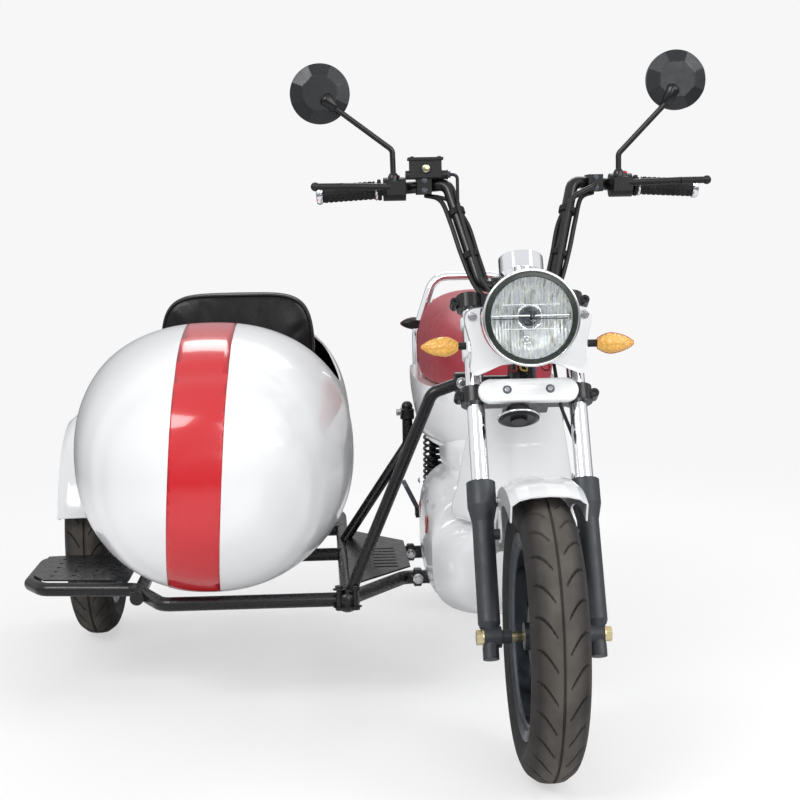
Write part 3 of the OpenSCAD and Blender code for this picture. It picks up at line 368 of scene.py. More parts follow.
class Shape:
    """Points in millimetres and the faces over them."""

    def __init__(self):
        self.points = []
        self.faces = []

    def strips(self, rows, around=True, caps=True):
        """Skin over rows of equally many points."""
        first = len(self.points)
        count = len(rows[0])
        self.points += [Vector(p) for row in rows for p in row]
        last = count if around else count - 1
        for i in range(len(rows) - 1):
            for j in range(last):
                a = first + i * count + j
                b = first + i * count + (j + 1) % count
                self.faces.append((a, b, b + count, a + count))
        if around and caps:
            self.faces.append(tuple(range(first, first + count))[::-1])
            self.faces.append(tuple(range(len(self.points) - count, len(self.points))))
        return self

    def tube(self, path, radius, sides=16, caps=True):
        """Round tube along a path; radius is one number or one for each point."""
        path = [Vector(p) for p in path]
        radii = radius if isinstance(radius, (list, tuple)) else [radius] * len(path)
        rows = []
        side = None
        for i, p in enumerate(path):
            way = (path[min(i + 1, len(path) - 1)] - path[max(i - 1, 0)]).normalized()
            side = way.orthogonal() if side is None else side - way * side.dot(way)
            side.normalize()
            rows.append(circle(p, side, way.cross(side), radii[i], sides))
        return self.strips(rows, caps=caps)

    def lathe(self, profile, origin, axis, sides=48, caps=True):
        """Turned surface: the profile holds pairs of radius and distance along the axis."""
        origin = Vector(origin)
        axis = Vector(axis).normalized()
        side = axis.orthogonal().normalized()
        other = axis.cross(side)
        rows = [circle(origin + axis * along, side, other, radius, sides)
                for radius, along in profile]
        return self.strips(rows, caps=caps)

    def ring(self, centre, axis, radius, thick, sides=40):
        """Round ring of wire around an axis."""
        bead = [(radius + thick * math.cos(a), thick * math.sin(a))
                for a in (math.tau * j / 12 for j in range(13))]
        return self.lathe(bead, centre, axis, sides, caps=False)

    def ball(self, centre, radius):
        steps = [math.pi * (i / 12 - 0.5) for i in range(1, 12)]
        return self.lathe([(radius * math.cos(a), radius * math.sin(a)) for a in steps], centre,
                          (0, 0, 1), 24)

    def bolt(self, place, axis, radius, height=5.0):
        """Hex head on a washer."""
        washer = [(radius * 1.5, 0), (radius * 1.5, 1.0), (radius * 1.35, 1.4)]
        head = [(radius, 1.2), (radius, height - 0.7), (radius * 0.85, height)]
        return self.lathe(washer, place, axis, 20).lathe(head, place, axis, 6)

    def block(self, low, high, edge):
        """Box with bevelled edges."""
        x0, y0, z0 = low
        x1, y1, z1 = high
        rows = []
        for z, inset in ((z0, edge), (z0 + edge, 0), (z1 - edge, 0), (z1, edge)):
            c = edge + inset * 0.6
            a, b, e, d = x0 + inset, x1 - inset, y0 + inset, y1 - inset
            rows.append([(a + c, e, z), (b - c, e, z), (b, e + c, z), (b, d - c, z), (b - c, d, z),
                         (a + c, d, z), (a, d - c, z), (a, e + c, z)])
        return self.strips(rows)


@contextmanager
def edited(mesh):
    """A mesh's faces, open for editing."""
    bm = bmesh.new()
    bm.from_mesh(mesh)
    yield bm
    bm.to_mesh(mesh)
    bm.free()


def mesh_of(name, points, faces, outward=True):
    """Mesh over points in metres, welded and with its faces turned outward."""
    mesh = bpy.data.meshes.new(name)
    mesh.from_pydata(points, [], faces)
    if outward:
        with edited(mesh) as bm:
            bmesh.ops.remove_doubles(bm, verts=bm.verts, dist=WELD)
            bmesh.ops.recalc_face_normals(bm, faces=bm.faces)
    return mesh


def piece(name, shape, finish, body, sharp=SHARP, stands_for=(), outward=True):
    """Mesh piece from a shape, with its finish, riding on a body."""
    mesh = mesh_of(name, [at(*p) for p in shape.points], shape.faces, outward)
    return as_piece(name, mesh, finish, body, sharp, stands_for)


def as_piece(name, mesh, finish, body, sharp=SHARP, stands_for=()):
    shaded(mesh, finish, sharp)
    obj = new_object(name, mesh)
    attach(obj, body)
    if stands_for:
        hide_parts(*stands_for)
    return obj


def shaded(mesh, finish, sharp):
    """Gives a mesh its finish and smooth shading up to an angle in degrees."""
    mesh.shade_smooth()
    mesh.set_sharp_from_angle(angle=math.radians(sharp))
    mesh.materials.clear()
    mesh.materials.append(FINISH[finish])


def applied(obj):
    """Turns an object's modifiers into its mesh."""
    mesh = bpy.data.meshes.new_from_object(
        obj.evaluated_get(bpy.context.evaluated_depsgraph_get()))
    obj.modifiers.clear()
    obj.data = mesh
    return obj


def trim(bm, place, normal):
    """Takes away the side of a plane that the normal points to, and gives the edges of the cut."""
    found = bmesh.ops.bisect_plane(bm, geom=bm.verts[:] + bm.edges[:] + bm.faces[:],
                                   plane_co=at(*place), plane_no=normal, clear_outer=True)
    return [e for e in found["geom_cut"] if isinstance(e, bmesh.types.BMEdge)]


def cut(obj, place, normal):
    """Trims closed meshes at a plane and closes the cut."""
    with edited(obj.data) as bm:
        bmesh.ops.holes_fill(bm, edges=trim(bm, place, normal))
        bmesh.ops.recalc_face_normals(bm, faces=bm.faces)
    obj.data.shade_smooth()
    obj.data.set_sharp_from_angle(angle=math.radians(SHARP))


def bend(before, corner, after, radius, steps):
    """Points of a round bend at a corner."""
    u = (corner - before).normalized()
    v = (after - corner).normalized()
    turn = u.angle(v)
    if turn < 1e-3:
        return [corner]
    n = (v - u * math.cos(turn)).normalized()
    centre = corner - u * radius * math.tan(turn / 2) + n * radius
    return [centre + radius * (u * math.sin(turn * i / steps) - n * math.cos(turn * i / steps))
            for i in range(steps + 1)]


def bent(points, radius, steps=8):
    """Path through corner points with a round bend at each inner one."""
    p = [Vector(q) for q in points]
    path = [p[0]]
    for i in range(1, len(p) - 1):
        path += bend(p[i - 1], p[i], p[i + 1], radius, steps)
    return path + [p[-1]]


def smooth(rows, steps):
    """Rows of a table with smooth steps between them."""
    rows = [[float(v) for v in row] for row in rows]
    fine = []
    for i in range(len(rows) - 1):
        a, b = rows[max(i - 1, 0)], rows[i]
        c, d = rows[i + 1], rows[min(i + 2, len(rows) - 1)]
        for j in range(steps):
            t = j / steps
            fine.append([0.5 * (2 * q + (r - p) * t + (2 * p - 5 * q + 4 * r - s) * t * t
                                + (3 * q - p - 3 * r + s) * t ** 3)
                         for p, q, r, s in zip(a, b, c, d)])
    return fine + [rows[-1]]


def rounded(angle, square):
    """Cosine and sine of an angle on a rounded square."""
    c, s = math.cos(angle), math.sin(angle)
    return math.copysign(abs(c) ** (2 / square), c), math.copysign(abs(s) ** (2 / square), s)


def edge_point(row, angle, grow=0.0):
    """Point on the ring of a row: y, left, right, bottom, top, squareness."""
    y, left, right, low, high, square = row
    c, s = rounded(angle, square)
    return Vector(((left + right) / 2 + ((right - left) / 2 + grow) * c, y,
                   (low + high) / 2 + ((high - low) / 2 + grow) * s))


def section(row, count, grow=0.0):
    """Ring of points of a row."""
    return [edge_point(row, math.tau * i / count, grow) for i in range(count)]


def lofted(rows, steps, count, grow=0.0):
    """Closed skin over the rings of a table."""
    return Shape().strips([section(r, count, grow) for r in smooth(rows, steps)])


# Sidecar tub

# Rows of a loft: y, left, right, bottom, top and squareness of each ring
TUB_ROWS = [[256.9, -546.4, -545.6, 449.6, 450.4, 2], [258, -572, -520, 424, 476, 2],
            [262, -600, -492, 394, 506, 2], [275, -650, -442, 340, 560, 2.1],
            [310, -708, -386, 282, 606, 2.15], [345, -738, -352, 252, 632, 2.2],
            [380, -762, -330, 234, 660, 2.2], [450, -792, -304, 223, 686, 2.2],
            [560, -814, -286, 215, 704, 2.25], [680, -818, -286, 215, 708, 2.3],
            [770, -798, -286, 223, 708, 2.35], [800, -786, -286, 225.3, 708, 2.4],
            [840, -772, -286, 225.3, 707, 2.4], [1000, -752, -286, 225.3, 704, 2.4],
            [1100, -742, -291, 225.3, 699, 2.4], [1200, -728, -310, 238, 684, 2.35],
            [1290, -704, -336, 258, 660, 2.3], [1380, -656, -390, 294, 610, 2.2],
            [1418, -604, -446, 346, 552, 2.1], [1428, -556, -494, 414, 484, 2],
            [1429.8, -525.4, -524.6, 448.6, 449.4, 2]]
# Side view of the cockpit's opening: y and z
OPENING = [[612, 900], [612, 692], [622, 642], [650, 606], [700, 584], [760, 576], [840, 588],
           [930, 610], [1000, 624], [1060, 638], [1090, 662], [1104, 900]]
TUB_WALL = 4.0
STRIPE_X = -549.0
STRIPE_SLANT = 0.068
STRIPE_W = 94.0
STRIPE_LOW = 234.0
STRIPE_OUT = 0.6
STRIPE_FILM = 0.8
TUB_STEPS, TUB_SIDES = 6, 112


def open_tub(shell):
    """Cuts the cockpit's opening; the faces that the cutter leaves are known by its finish."""
    line = smooth(OPENING, 5)
    walls = Shape().strips([[(x, y, z) for y, z in line] for x in (-1000, -100)])
    cutter = piece("tub_cutter", walls, "lens_red", "chassis")
    modify(shell, "opening", "BOOLEAN", object=cutter, operation="DIFFERENCE", solver="EXACT",
           material_mode="TRANSFER")
    applied(shell)
    bpy.data.objects.remove(cutter)
    inside = [i for i, m in enumerate(shell.data.materials) if m == FINISH["lens_red"]]
    with edited(shell.data) as bm:
        bmesh.ops.delete(bm, geom=[f for f in bm.faces if f.material_index in inside],
                         context="FACES")
        for f in bm.faces:
            f.material_index = 0


def add_tub():
    shell = piece("tub_shell", lofted(TUB_ROWS, TUB_STEPS, TUB_SIDES), "body_white", "chassis",
                  stands_for=["sidecar_tub"])
    open_tub(shell)
    shell.data.materials.clear()
    for finish in ("body_white", "plastic_black"):
        shell.data.materials.append(FINISH[finish])
    shell.data.shade_smooth()
    modify(shell, "wall", "SOLIDIFY", thickness=TUB_WALL * MM, offset=-1, material_offset=1)
    applied(shell)
    shell.data.set_sharp_from_angle(angle=math.radians(SHARP))


def add_stripe():
    """Red band over the nose: a film cut from the tub's skin."""
    skin = lofted(TUB_ROWS, TUB_STEPS, TUB_SIDES, STRIPE_OUT)
    mesh = mesh_of("tub_band", [at(*p) for p in skin.points], skin.faces)
    half = STRIPE_W / 2
    with edited(mesh) as band:
        for place, normal in (((STRIPE_X - half, 0, 700), (-1, 0, STRIPE_SLANT)),
                              ((STRIPE_X + half, 0, 700), (1, 0, -STRIPE_SLANT)),
                              ((0, OPENING[0][0], 0), (0, 1, 0)),
                              ((0, 0, STRIPE_LOW), (0, 0, -1))):
            trim(band, place, normal)
    film = as_piece("tub_band", mesh, "stripe_red", "chassis", stands_for=["tub_stripe"])
    modify(film, "film", "SOLIDIFY", thickness=STRIPE_FILM * MM, offset=-1)


# Seats

SEAT_BASE_Z = 566.0
SEAT_ROWS = [[600, -50, 50, 540, 625, 2.4], [625, -85, 85, 520, 668, 2.6],
             [700, -116, 116, 510, 704, 2.8], [820, -134, 134, 506, 730, 3],
             [960, -138, 138, 506, 742, 3], [1080, -126, 126, 508, 744, 3],
             [1160, -104, 104, 516, 738, 2.8], [1212, -70, 70, 540, 712, 2.4]]
SEAM_TURN = math.radians(48)
SEAM_FROM = 960.0
SADDLE_SWELL, PAD_SWELL = 9, 12
SADDLE_PIPING, PAD_PIPING = 3.2, 3
PAD_SEAM = 0.985
SADDLE_INSET = -3.0
CUSHION = (-520, 850, 364), (176, 122, 46)
BACKREST = (-519, 978, 556), (164, 40, 194)
PAD_SQUARE = 5
PAD_VOXEL = 6.0
PAD_PRESSURE = 4
PAD_FRAMES = 20


def pillow(centre, half, square):
    """Closed cushion: a rounded box around its centre."""
    rows = []
    for i in range(1, 20):
        out, up = rounded(math.pi * (i / 20 - 0.5), square)
        ring = [rounded(math.tau * j / 48, square) for j in range(48)]
        rows.append([(centre[0] + half[0] * out * c, centre[1] + half[1] * out * s,
                      centre[2] + half[2] * up) for c, s in ring])
    return Shape().strips(rows)


def swell(obj, seam, held, cap):
    """Lets pressure push a cover out as cloth, by cap at most."""
    tree = KDTree(len(seam))
    for i, p in enumerate(seam):
        tree.insert(at(*p), i)
    tree.balance()
    start = [v.co.copy() for v in obj.data.vertices]
    still = [i for i, p in enumerate(start)
             if held(place_of(p)) or tree.find(p)[2] < PAD_VOXEL * MM]
    obj.vertex_groups.new(name="held").add(still, 1.0, "REPLACE")
    cloth = settle(obj.modifiers.new("cloth", "CLOTH").settings, use_pressure=True,
                   uniform_pressure_force=PAD_PRESSURE, vertex_group_mass="held")
    cloth.effector_weights.gravity = 0
    for i in range(1, PAD_FRAMES + 1):
        bpy.context.scene.frame_set(i)
    swollen = obj.evaluated_get(bpy.context.evaluated_depsgraph_get())
    ends = [v.co.copy() for v in swollen.data.vertices]
    obj.modifiers.clear()
    obj.vertex_groups.clear()
    bpy.context.scene.frame_set(1)
    for v, a, b in zip(obj.data.vertices, start, ends):
        way = b - a
        v.co = a + way * min(1.0, cap * MM / max(way.length, 1e-9))


def inflate(obj, seam, held, cap, finish):
    """Swells a cover as its padding fills it; the seam and the held side stay where they are."""
    modify(obj, "even", "REMESH", mode="VOXEL", voxel_size=PAD_VOXEL * MM)
    modify(obj, "soft", "SMOOTH", iterations=6)
    applied(obj)
    swell(obj, seam, held, cap)
    modify(obj, "calm", "SMOOTH", iterations=5)
    modify(obj, "finer", "SUBSURF", levels=1, render_levels=1)
    applied(obj)
    shaded(obj.data, finish, 60)


def add_piping(name, obj, seam, radius, finish, taper=1):
    """Cord sewn into a seam, laid on the cover it holds."""
    path = []
    for p in seam:
        _, spot, normal, _ = obj.closest_point_on_mesh(at(*p))
        path.append(place_of(spot + normal * radius * 0.3 * MM))
    last = len(path) - 1
    thin = [radius * min(1, (i + 1) / taper, (last - i + 1) / taper) for i in range(last + 1)]
    piece(name, Shape().tube(path, thin, 10), finish, "chassis")


def add_saddle():
    saddle = piece("saddle", lofted(SEAT_ROWS, 6, 80, SADDLE_INSET), "seat_red", "chassis",
                   stands_for=["seat"])
    cut(saddle, (0, 0, SEAT_BASE_Z), (0, 0, -1))
    rows = [r for r in smooth(SEAT_ROWS, 8) if r[0] > SEAM_FROM][:-4]
    across = math.pi - 2 * SEAM_TURN
    places = [(r, SEAM_TURN) for r in rows]
    places += [(rows[-1], SEAM_TURN + across * i / 16) for i in range(1, 16)]
    places += [(r, math.pi - SEAM_TURN) for r in reversed(rows)]
    seam = [edge_point(row, angle, SADDLE_INSET) for row, angle in places]
    inflate(saddle, seam, lambda p: p.z < SEAT_BASE_Z + 8, SADDLE_SWELL, "seat_red")
    # Painted highlight: the cord is a seam, and its pale colour stands in for the glint along the
    # saddle's top edge.
    add_piping("saddle_piping_painted_highlight", saddle, seam, SADDLE_PIPING, "seam_painted_highlight", 9)


def add_sidecar_seat():
    ring = [rounded(math.tau * j / 120, PAD_SQUARE) for j in range(122)]
    (x, y, z), (wide, deep, _) = CUSHION
    cushion = piece("sidecar_cushion", pillow(*CUSHION, PAD_SQUARE), "seat_black", "chassis",
                    stands_for=["sidecar_seat"])
    seam = [Vector((x + wide * c * PAD_SEAM, y + deep * s * 0.98, z + 29)) for c, s in ring]
    inflate(cushion, seam, lambda p: p.z < 330, PAD_SWELL, "seat_black")
    add_piping("cushion_piping", cushion, seam, PAD_PIPING, "plastic_black")
    (x, y, z), (wide, _, high) = BACKREST
    back = piece("sidecar_back", pillow(*BACKREST, PAD_SQUARE), "seat_black", "chassis")
    seam = [Vector((x + wide * c * PAD_SEAM, y - 28, z + high * s * PAD_SEAM)) for c, s in ring]
    inflate(back, seam, lambda p: p.y > 1012, PAD_SWELL, "seat_black")
    add_piping("back_piping", back, seam, PAD_PIPING, "plastic_black")


# Moulded covers of the bike

# Front cover: z, half width, y of its middle and how far its sides lie behind that
SHIELD_ROWS = [[352, 60, 300, 40], [364, 111, 296, 92], [420, 102, 291, 80], [480, 92, 288, 66],
               [540, 80, 286, 48], [585, 70, 285, 38]]
# Pressed panel on it: z and half width
PANEL_ROWS = [[372, 44], [382, 50], [482, 50], [494, 46], [500, 38]]
BELLY_ROWS = [[287, -20, 20, 262, 318, 2.2], [290, -40, 40, 240, 340, 2.4],
              [300, -90, 90, 215, 350, 2.6], [330, -120, 120, 190, 352, 2.8],
              [400, -146, 146, 172, 354, 3.2],
              [420, -150, 150, 168, 404, 3.2], [500, -157, 157, 162, 420, 3.4],
              [640, -157, 157, 162, 422, 3.4], [740, -150, 150, 170, 420, 3.2],
              [770, -130, 130, 190, 405, 3]]
WAIST_ROWS = [[562, -84, 84, 398, 476, 3.4], [600, -104, 104, 396, 484, 3.6],
              [700, -110, 110, 396, 484, 4], [775, -106, 106, 398, 484, 3.6],
              [800, -90, 90, 408, 478, 3.2]]
BODY_ROWS = [[570, -70, 70, 436, 570, 2.6], [600, -105, 105, 430, 585, 2.8],
             [700, -138, 138, 428, 600, 3], [800, -149, 149, 430, 606, 3.2],
             [950, -150, 150, 462, 612, 3.2], [1100, -146, 146, 486, 616, 3],
             [1240, -136, 136, 506, 616, 3], [1310, -104, 104, 520, 606, 2.8]]
PANEL_OUT = 1.8
COVER_WALL = 4.0


def panel(x, z):
    """How far the pressed panel of the front cover stands out."""
    rows = PANEL_ROWS
    if not rows[0][0] < z < rows[-1][0]:
        return 0.0
    k = max(i for i in range(len(rows) - 1) if rows[i][0] <= z)
    share = (z - rows[k][0]) / (rows[k + 1][0] - rows[k][0])
    half = rows[k][1] + (rows[k + 1][1] - rows[k][1]) * share
    inside = min(half - abs(x), z - rows[0][0], rows[-1][0] - z)
    return PANEL_OUT * min(max(inside / 3, 0), 1)


def add_covers():
    rows = []
    for z, half, y, depth in smooth(SHIELD_ROWS, 22):
        line = [(half * q, y + depth * abs(q) ** 2.2) for q in (-1 + i / 60 for i in range(121))]
        rows.append([(x, yy - panel(x, z), z) for x, yy in line])
    cover = piece("front_cover", Shape().strips(rows, around=False), "body_white", "chassis",
                  stands_for=["leg_shield"])
    modify(cover, "wall", "SOLIDIFY", thickness=COVER_WALL * MM, offset=0)
    piece("belly", lofted(BELLY_ROWS, 6, 80), "body_white", "chassis", stands_for=["belly_cover"])
    tail = piece("tail_body", lofted(BODY_ROWS, 6, 80), "body_white", "chassis",
                 stands_for=["rear_body"])
    cut(tail, (0, 0, SEAT_BASE_Z), (0, 0, 1))
    piece("waist", lofted(WAIST_ROWS, 5, 64), "body_white", "chassis")
    spots = Shape()
    for k in (-1, 1):
        for y in (470, 640):
            spots.lathe([(17, 0), (17, 2.4), (15, 3.4)], (k * 154, y, 330), (k, 0, 0), 40)
    piece("belly_reflectors", spots, "lens_red", "chassis")
    screws = Shape()
    for k in (-1, 1):
        for y in (440, 560, 690):
            screws.bolt((k * 152.5, y, 380), (k, 0, 0), 4.2, 4)
    piece("belly_screws", screws, "bolt_steel", "chassis", sharp=CREASE)


# Tyres

TREAD_PITCHES = 28
GROOVE_DEPTH = 4.4
MIDDLE_CUT = 1.9
CUT_FROM, CUT_TO = 9, 38
CUT_DRIFT = 34
CUT_HALF = 2.6
RIM_DROP = 70
BEAD = 30
AROUND = 560


def groove(x, turn):
    """Depth of the tread's cuts at side distance x and angle turn."""
    w = abs(x)
    if w < MIDDLE_CUT:
        return GROOVE_DEPTH * min(1.0, (MIDDLE_CUT - w) / 0.6)
    if not CUT_FROM < w < CUT_TO:
        return 0.0
    share = (w - CUT_FROM) / (CUT_TO - CUT_FROM)
    drift = CUT_DRIFT * math.sin(share * math.pi / 2)
    pitch = math.tau / TREAD_PITCHES
    place = turn - drift / TYRE_R + (pitch / 2 if x > 0 else 0)
    off = abs((place + pitch / 2) % pitch - pitch / 2) * TYRE_R
    half = CUT_HALF * math.sqrt(max(math.sin(math.pi * (0.06 + 0.9 * share)), 0))
    return GROOVE_DEPTH * min(max((half - off) / 0.9, 0), 1.0)


def tyre_ring(r, x):
    """Points around the tyre at a radius and a side distance, sunk where the tread is cut."""
    ring = []
    for turn in (math.tau * i / AROUND for i in range(AROUND)):
        low = r - (groove(x, turn) if r > TYRE_R - 18 else 0.0)
        ring.append((x, -low * math.cos(turn), low * math.sin(turn)))
    return ring


def tyre_mesh():
    half = (tyre_high.x - tyre_low.x) / 2 / MM
    rim = TYRE_R - RIM_DROP
    side = [[rim, BEAD], [rim + 6, 34], [rim + 16, half - 5], [rim + 30, half],
            [TYRE_R - 30, half - 2], [TYRE_R - 16, half - 9], [TYRE_R - 7, half - 20],
            [TYRE_R - 2, 16], [TYRE_R, 0.0]]
    flank = smooth(side, 3)[:15]
    tread = smooth(side, 14)[70:]
    profile = flank + [p for p in tread if p[1] < flank[-1][1] - 0.5]
    profile += [[r, -x] for r, x in reversed(profile[:-1])]
    shape = Shape().strips([tyre_ring(r, x) for r, x in profile], caps=False)
    shape.strips([tyre_ring(rim, x) for x in (-BEAD, BEAD)], caps=False)
    mesh = mesh_of("tyre", [p * MM for p in shape.points], shape.faces)
    shaded(mesh, "tyre_rubber", 35)
    return mesh


def add_tyres():
    mesh = tyre_mesh()
    for wheel in ("front", "rear", "sidecar"):
        node = f"{wheel}_tyre"
        low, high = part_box(node)
        obj = new_object(f"{wheel}_tread", mesh)
        obj.location = (low + high) / 2
        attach(obj, f"{wheel}_wheel")
        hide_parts(node)


# Tubes

BAR_HALF = 340.0
BAR_Z = 946.0
BAR_SIDE = [(62, 303, 775), (112, 388, BAR_Z + 9), (178, 425, BAR_Z + 5), (BAR_HALF, 424, BAR_Z - 4)]
BAR_POINTS = [(-x, y, z) for x, y, z in reversed(BAR_SIDE)] + BAR_SIDE
RAIL_POINTS = [(-122, 1240, SEAT_BASE_Z), (-122, 1240, 640), (-80, 1250, 768), (80, 1250, 768),
               (122, 1240, 640), (122, 1240, SEAT_BASE_Z)]
BAR_R, BAR_BEND = 11, 22
RAIL_R, RAIL_BEND = 10, 45
STRUT_R, CHASSIS_R = 11, 13
HOSE_R, LOOM_R, CABLE_BEND = 3, 4.5, 9
CHASSIS_Z = 212.0
KNEE = (-306, 385)
# Tubes: corner points and radius of the bends
CHASSIS_PATHS = [([(-140.2, 560), (-194, 560), KNEE, (-640, 385), (-702, 520), (-880, 545),
                   (-912, 600), (-912, 788), (-864, 808), (-745, 808)], 26),
                 ([KNEE, (-306, 1300), (-692, 1300), (-692, 440)], 50),
                 ([(-755, 808), (-140.2, 808)], 1), ([(-692, 1088), (-306, 1088)], 1)]
STRUTS = [([(-302, 381, 222), (-150, 322, 590), (-98, 322, 608), (-10, 316, 608)], 24),
          ([(-304, 899, 222), (-162, 950, 420), (-162, 950, 500)], 20)]
HOSE = [(-111.8, 386, 972), (-94, 386, 972), (-97, 348, 918), (-66, 289, 790), fork(-50, -24, 590),
        fork(-45, -26, 530), fork(45, -26, 480), fork(52, -19, 412), fork(54, -20, 382),
        fork(82, 33, 335), fork(86, 31, 250), fork(86, 27, 150), fork(56, 78, 112),
        fork(56, 78, 78.3)]
LOOM = [(148, 381.7, 948), (148, 366, 948), (112, 352, 932), (100, 348, 918), (66, 289, 790),
        fork(50, -24, 590), (22, 240, 742), (12, 216.2, 735)]
SHOCK_LOW, SHOCK_TOP = Vector((93, 1225, 237.7)), Vector((91, 1185, 492.8))
COIL_TURNS, COIL_STEPS, COIL_R = 11, 24, 19
LUG_Y = (560, 808)
CLAMP_FRONT, CLAMP_REAR = Vector((-98, 322, 608)), Vector((-162, 950, 484))


def add_tubes():
    piece("bar_tube", Shape().tube(bent(BAR_POINTS, BAR_BEND), BAR_R, 24), "frame_black", "steering",
          stands_for=["handlebar"])
    piece("rail_tube", Shape().tube(bent(RAIL_POINTS, RAIL_BEND), RAIL_R, 24), "bright_chrome",
          "chassis", stands_for=["grab_rail"])
    struts = Shape()
    for points, radius in STRUTS:
        struts.tube(bent(points, radius), STRUT_R, 20)
    struts.ball((*KNEE, CHASSIS_Z), 24)
    struts.ball(STRUTS[1][0][2], 12)
    struts.lathe([(12, -12), (15, -10), (15, 10), (12, 12)], CLAMP_REAR, (0, 0, 1), 28)
    struts.lathe([(16, -13), (18, -11), (18, 11), (16, 13)], CLAMP_FRONT, (1, 0, 0), 28)
    piece("strut_tubes", struts, "frame_black", "chassis", stands_for=["sidecar_struts"])
    tubes = Shape()
    for points, radius in CHASSIS_PATHS:
        tubes.tube(bent([(x, y, CHASSIS_Z) for x, y in points], radius), CHASSIS_R, 20)
    for y in LUG_Y:
        collar = [(15, -176), (18, -174), (18, -162), (15, -160)]
        tubes.lathe(collar, (0, y, CHASSIS_Z), (1, 0, 0), 28)
    tubes.block((-730, 1066, 200), (-682, 1110, 252), 5)
    piece("chassis_tubes", tubes, "frame_black", "chassis", stands_for=["sidecar_frame"])
    studs, bolts = Shape(), Shape()
    for x in (-321, -291):
        studs.tube([(x, 367, 196), (x, 367, 235)], 5, 16)
        for z, way in ((234, 1), (203, -1)):
            studs.bolt((x, 367, z), (0, 0, way), 7.5, 7)
    piece("knuckle_bolts", studs, "frame_black", "chassis", sharp=CREASE)
    for y in LUG_Y:
        bolts.bolt((-168, y - 18, CHASSIS_Z), (0, -1, 0), 6.5, 7)
    bolts.bolt(CLAMP_FRONT - Vector((0, 18, 0)), (0, -1, 0), 7, 7)
    bolts.bolt(CLAMP_REAR + Vector((-13, 0, 4)), (-1, 0, 0), 8, 10)
    piece("frame_bolts", bolts, "bolt_steel", "chassis", sharp=CREASE)


def add_cables():
    hose = Shape().tube(bent(HOSE, CABLE_BEND, 6), HOSE_R, 12)
    piece("brake_hose", hose, "plastic_black", "steering", stands_for=["control_cables"])
    loom = Shape().tube(bent(LOOM, CABLE_BEND, 6), LOOM_R, 14)
    piece("bar_loom", loom, "plastic_black", "steering")
    straps = Shape()
    low, top = Vector(BAR_POINTS[3]), Vector(BAR_POINTS[2])
    for share in (0.3, 0.72):
        for k in (1, -1):
            flip = Vector((k, 1, 1))
            straps.lathe([(11.2, -6), (15, -5), (15, 5), (11.2, 6)], low.lerp(top, share) * flip,
                         (top - low) * flip, 24, caps=False)
    piece("bar_straps", straps, "grip_rubber", "steering")
    runs = Shape()
    for k in (-1, 1):
        for side, radius in ((-15, 3.6), (14, 4.2)):
            line = smooth([(k * 150, 404, 936), (k * (118 + side * 0.5), 378, 926),
                           (k * (96 + side), 350, 886), (k * (80 + side), 325, 830),
                           (k * (62 + side * 0.8), 298, 776), (k * 44, 268, 745)], 8)
            runs.tube(line, radius, 12)
    piece("riser_cables", runs, "plastic_black", "steering")
    for finish, place, x, end in (("wire_red", "main", -26, -14), ("wire_yellow", "main", -10, 4),
                                  ("wire_violet", "main", 8, 20), ("wire_red", "left", 30, 34)):
        line = smooth([(x, 168, 676), (x * 1.1, 172, 655), (x + end * 0.3, 188, 640),
                       (end, 208, 636), (end * 0.8, 226, 646)], 8)
        piece(f"lamp_{finish}_{place}", Shape().tube(line, 1.8, 10), finish, "steering")


def add_shocks():
    way = (SHOCK_TOP - SHOCK_LOW).normalized()
    length = (SHOCK_TOP - SHOCK_LOW).length
    damper = [(7, 0), (7, 38), (23, 38), (23, 44), (13, 46), (13, 120), (8, 122), (8, length - 62),
              (23, length - 62), (23, length - 50), (11, length - 46), (7, length - 40), (7, length)]
    side = way.orthogonal().normalized()
    other = way.cross(side)
    dampers, springs = Shape(), Shape()
    for k in (1, -1):
        flip = Vector((k, 1, 1))
        dampers.lathe(damper, SHOCK_LOW * flip, way * flip, 32)
        for end in (SHOCK_LOW, SHOCK_TOP):
            dampers.lathe([(9, -7), (13, -5), (13, 6), (9, 8)], end * flip, (k, 0, 0), 28)
        coil = []
        last = COIL_TURNS * COIL_STEPS
        for i in range(last + 1):
            a = math.tau * i / COIL_STEPS
            p = SHOCK_LOW + way * (45 + (length - 109) * i / last) + COIL_R * (
                side * math.cos(a) + other * math.sin(a))
            coil.append(p * flip)
        springs.tube(coil, 3.2, 10)
    piece("shock_dampers", dampers, "alloy_grey", "chassis", stands_for=["rear_shocks"])
    piece("shock_springs", springs, "frame_black", "chassis")


# Lamp, signals, mirrors and bar fittings

LAMP = Vector((0, 113, 730))
LENS_R = 73.5
LEAF_ROWS = [[0, -7, 7, -8, 8, 2.2], [8, -11, 11, -13, 13, 2.2], [22, -13, 13, -17, 17, 2.1],
             [40, -11, 11, -14, 14, 2], [54, -6, 6, -8, 8, 2], [62, -1.5, 1.5, -2, 2, 2]]
# Foot, knee and end of each arm, and the middle of the mirror
MIRRORS = [[(-207, 396, 962.3), (-208, 396, 1017), (-309, 392, 1093), (-334, 400, 1118)],
           [(196, 396, 962.3), (196, 396, 1004), (283, 392, 1094), (301, 400, 1133)]]
MIRROR_R = 53.0
MIRROR_DEPTH = 12.0
MIRROR_FACETS = 8
MIRROR_SIDES = 112
PANE_SIDES = 160
PANE_Y, PANE_BULGE = -17, 10
FLUTE_W, FLUTE_H = 7, 1.3
# End, body, root, size and the way its lens looks
SIGNALS = (("front", "steering", (116, 165, 682), 1.0, -1),
           ("rear", "chassis", (108, 1268, 660), 0.8, 1))
# Ridge over a lens: distance from the root and depth
RIDGE = ((6, 10.2), (20, 12.8), (40, 10.8), (54, 5.6), (61, 1.2))


def lamp(x, y, z):
    """Place beside the middle of the lamp."""
    return LAMP + Vector((x, y, z))


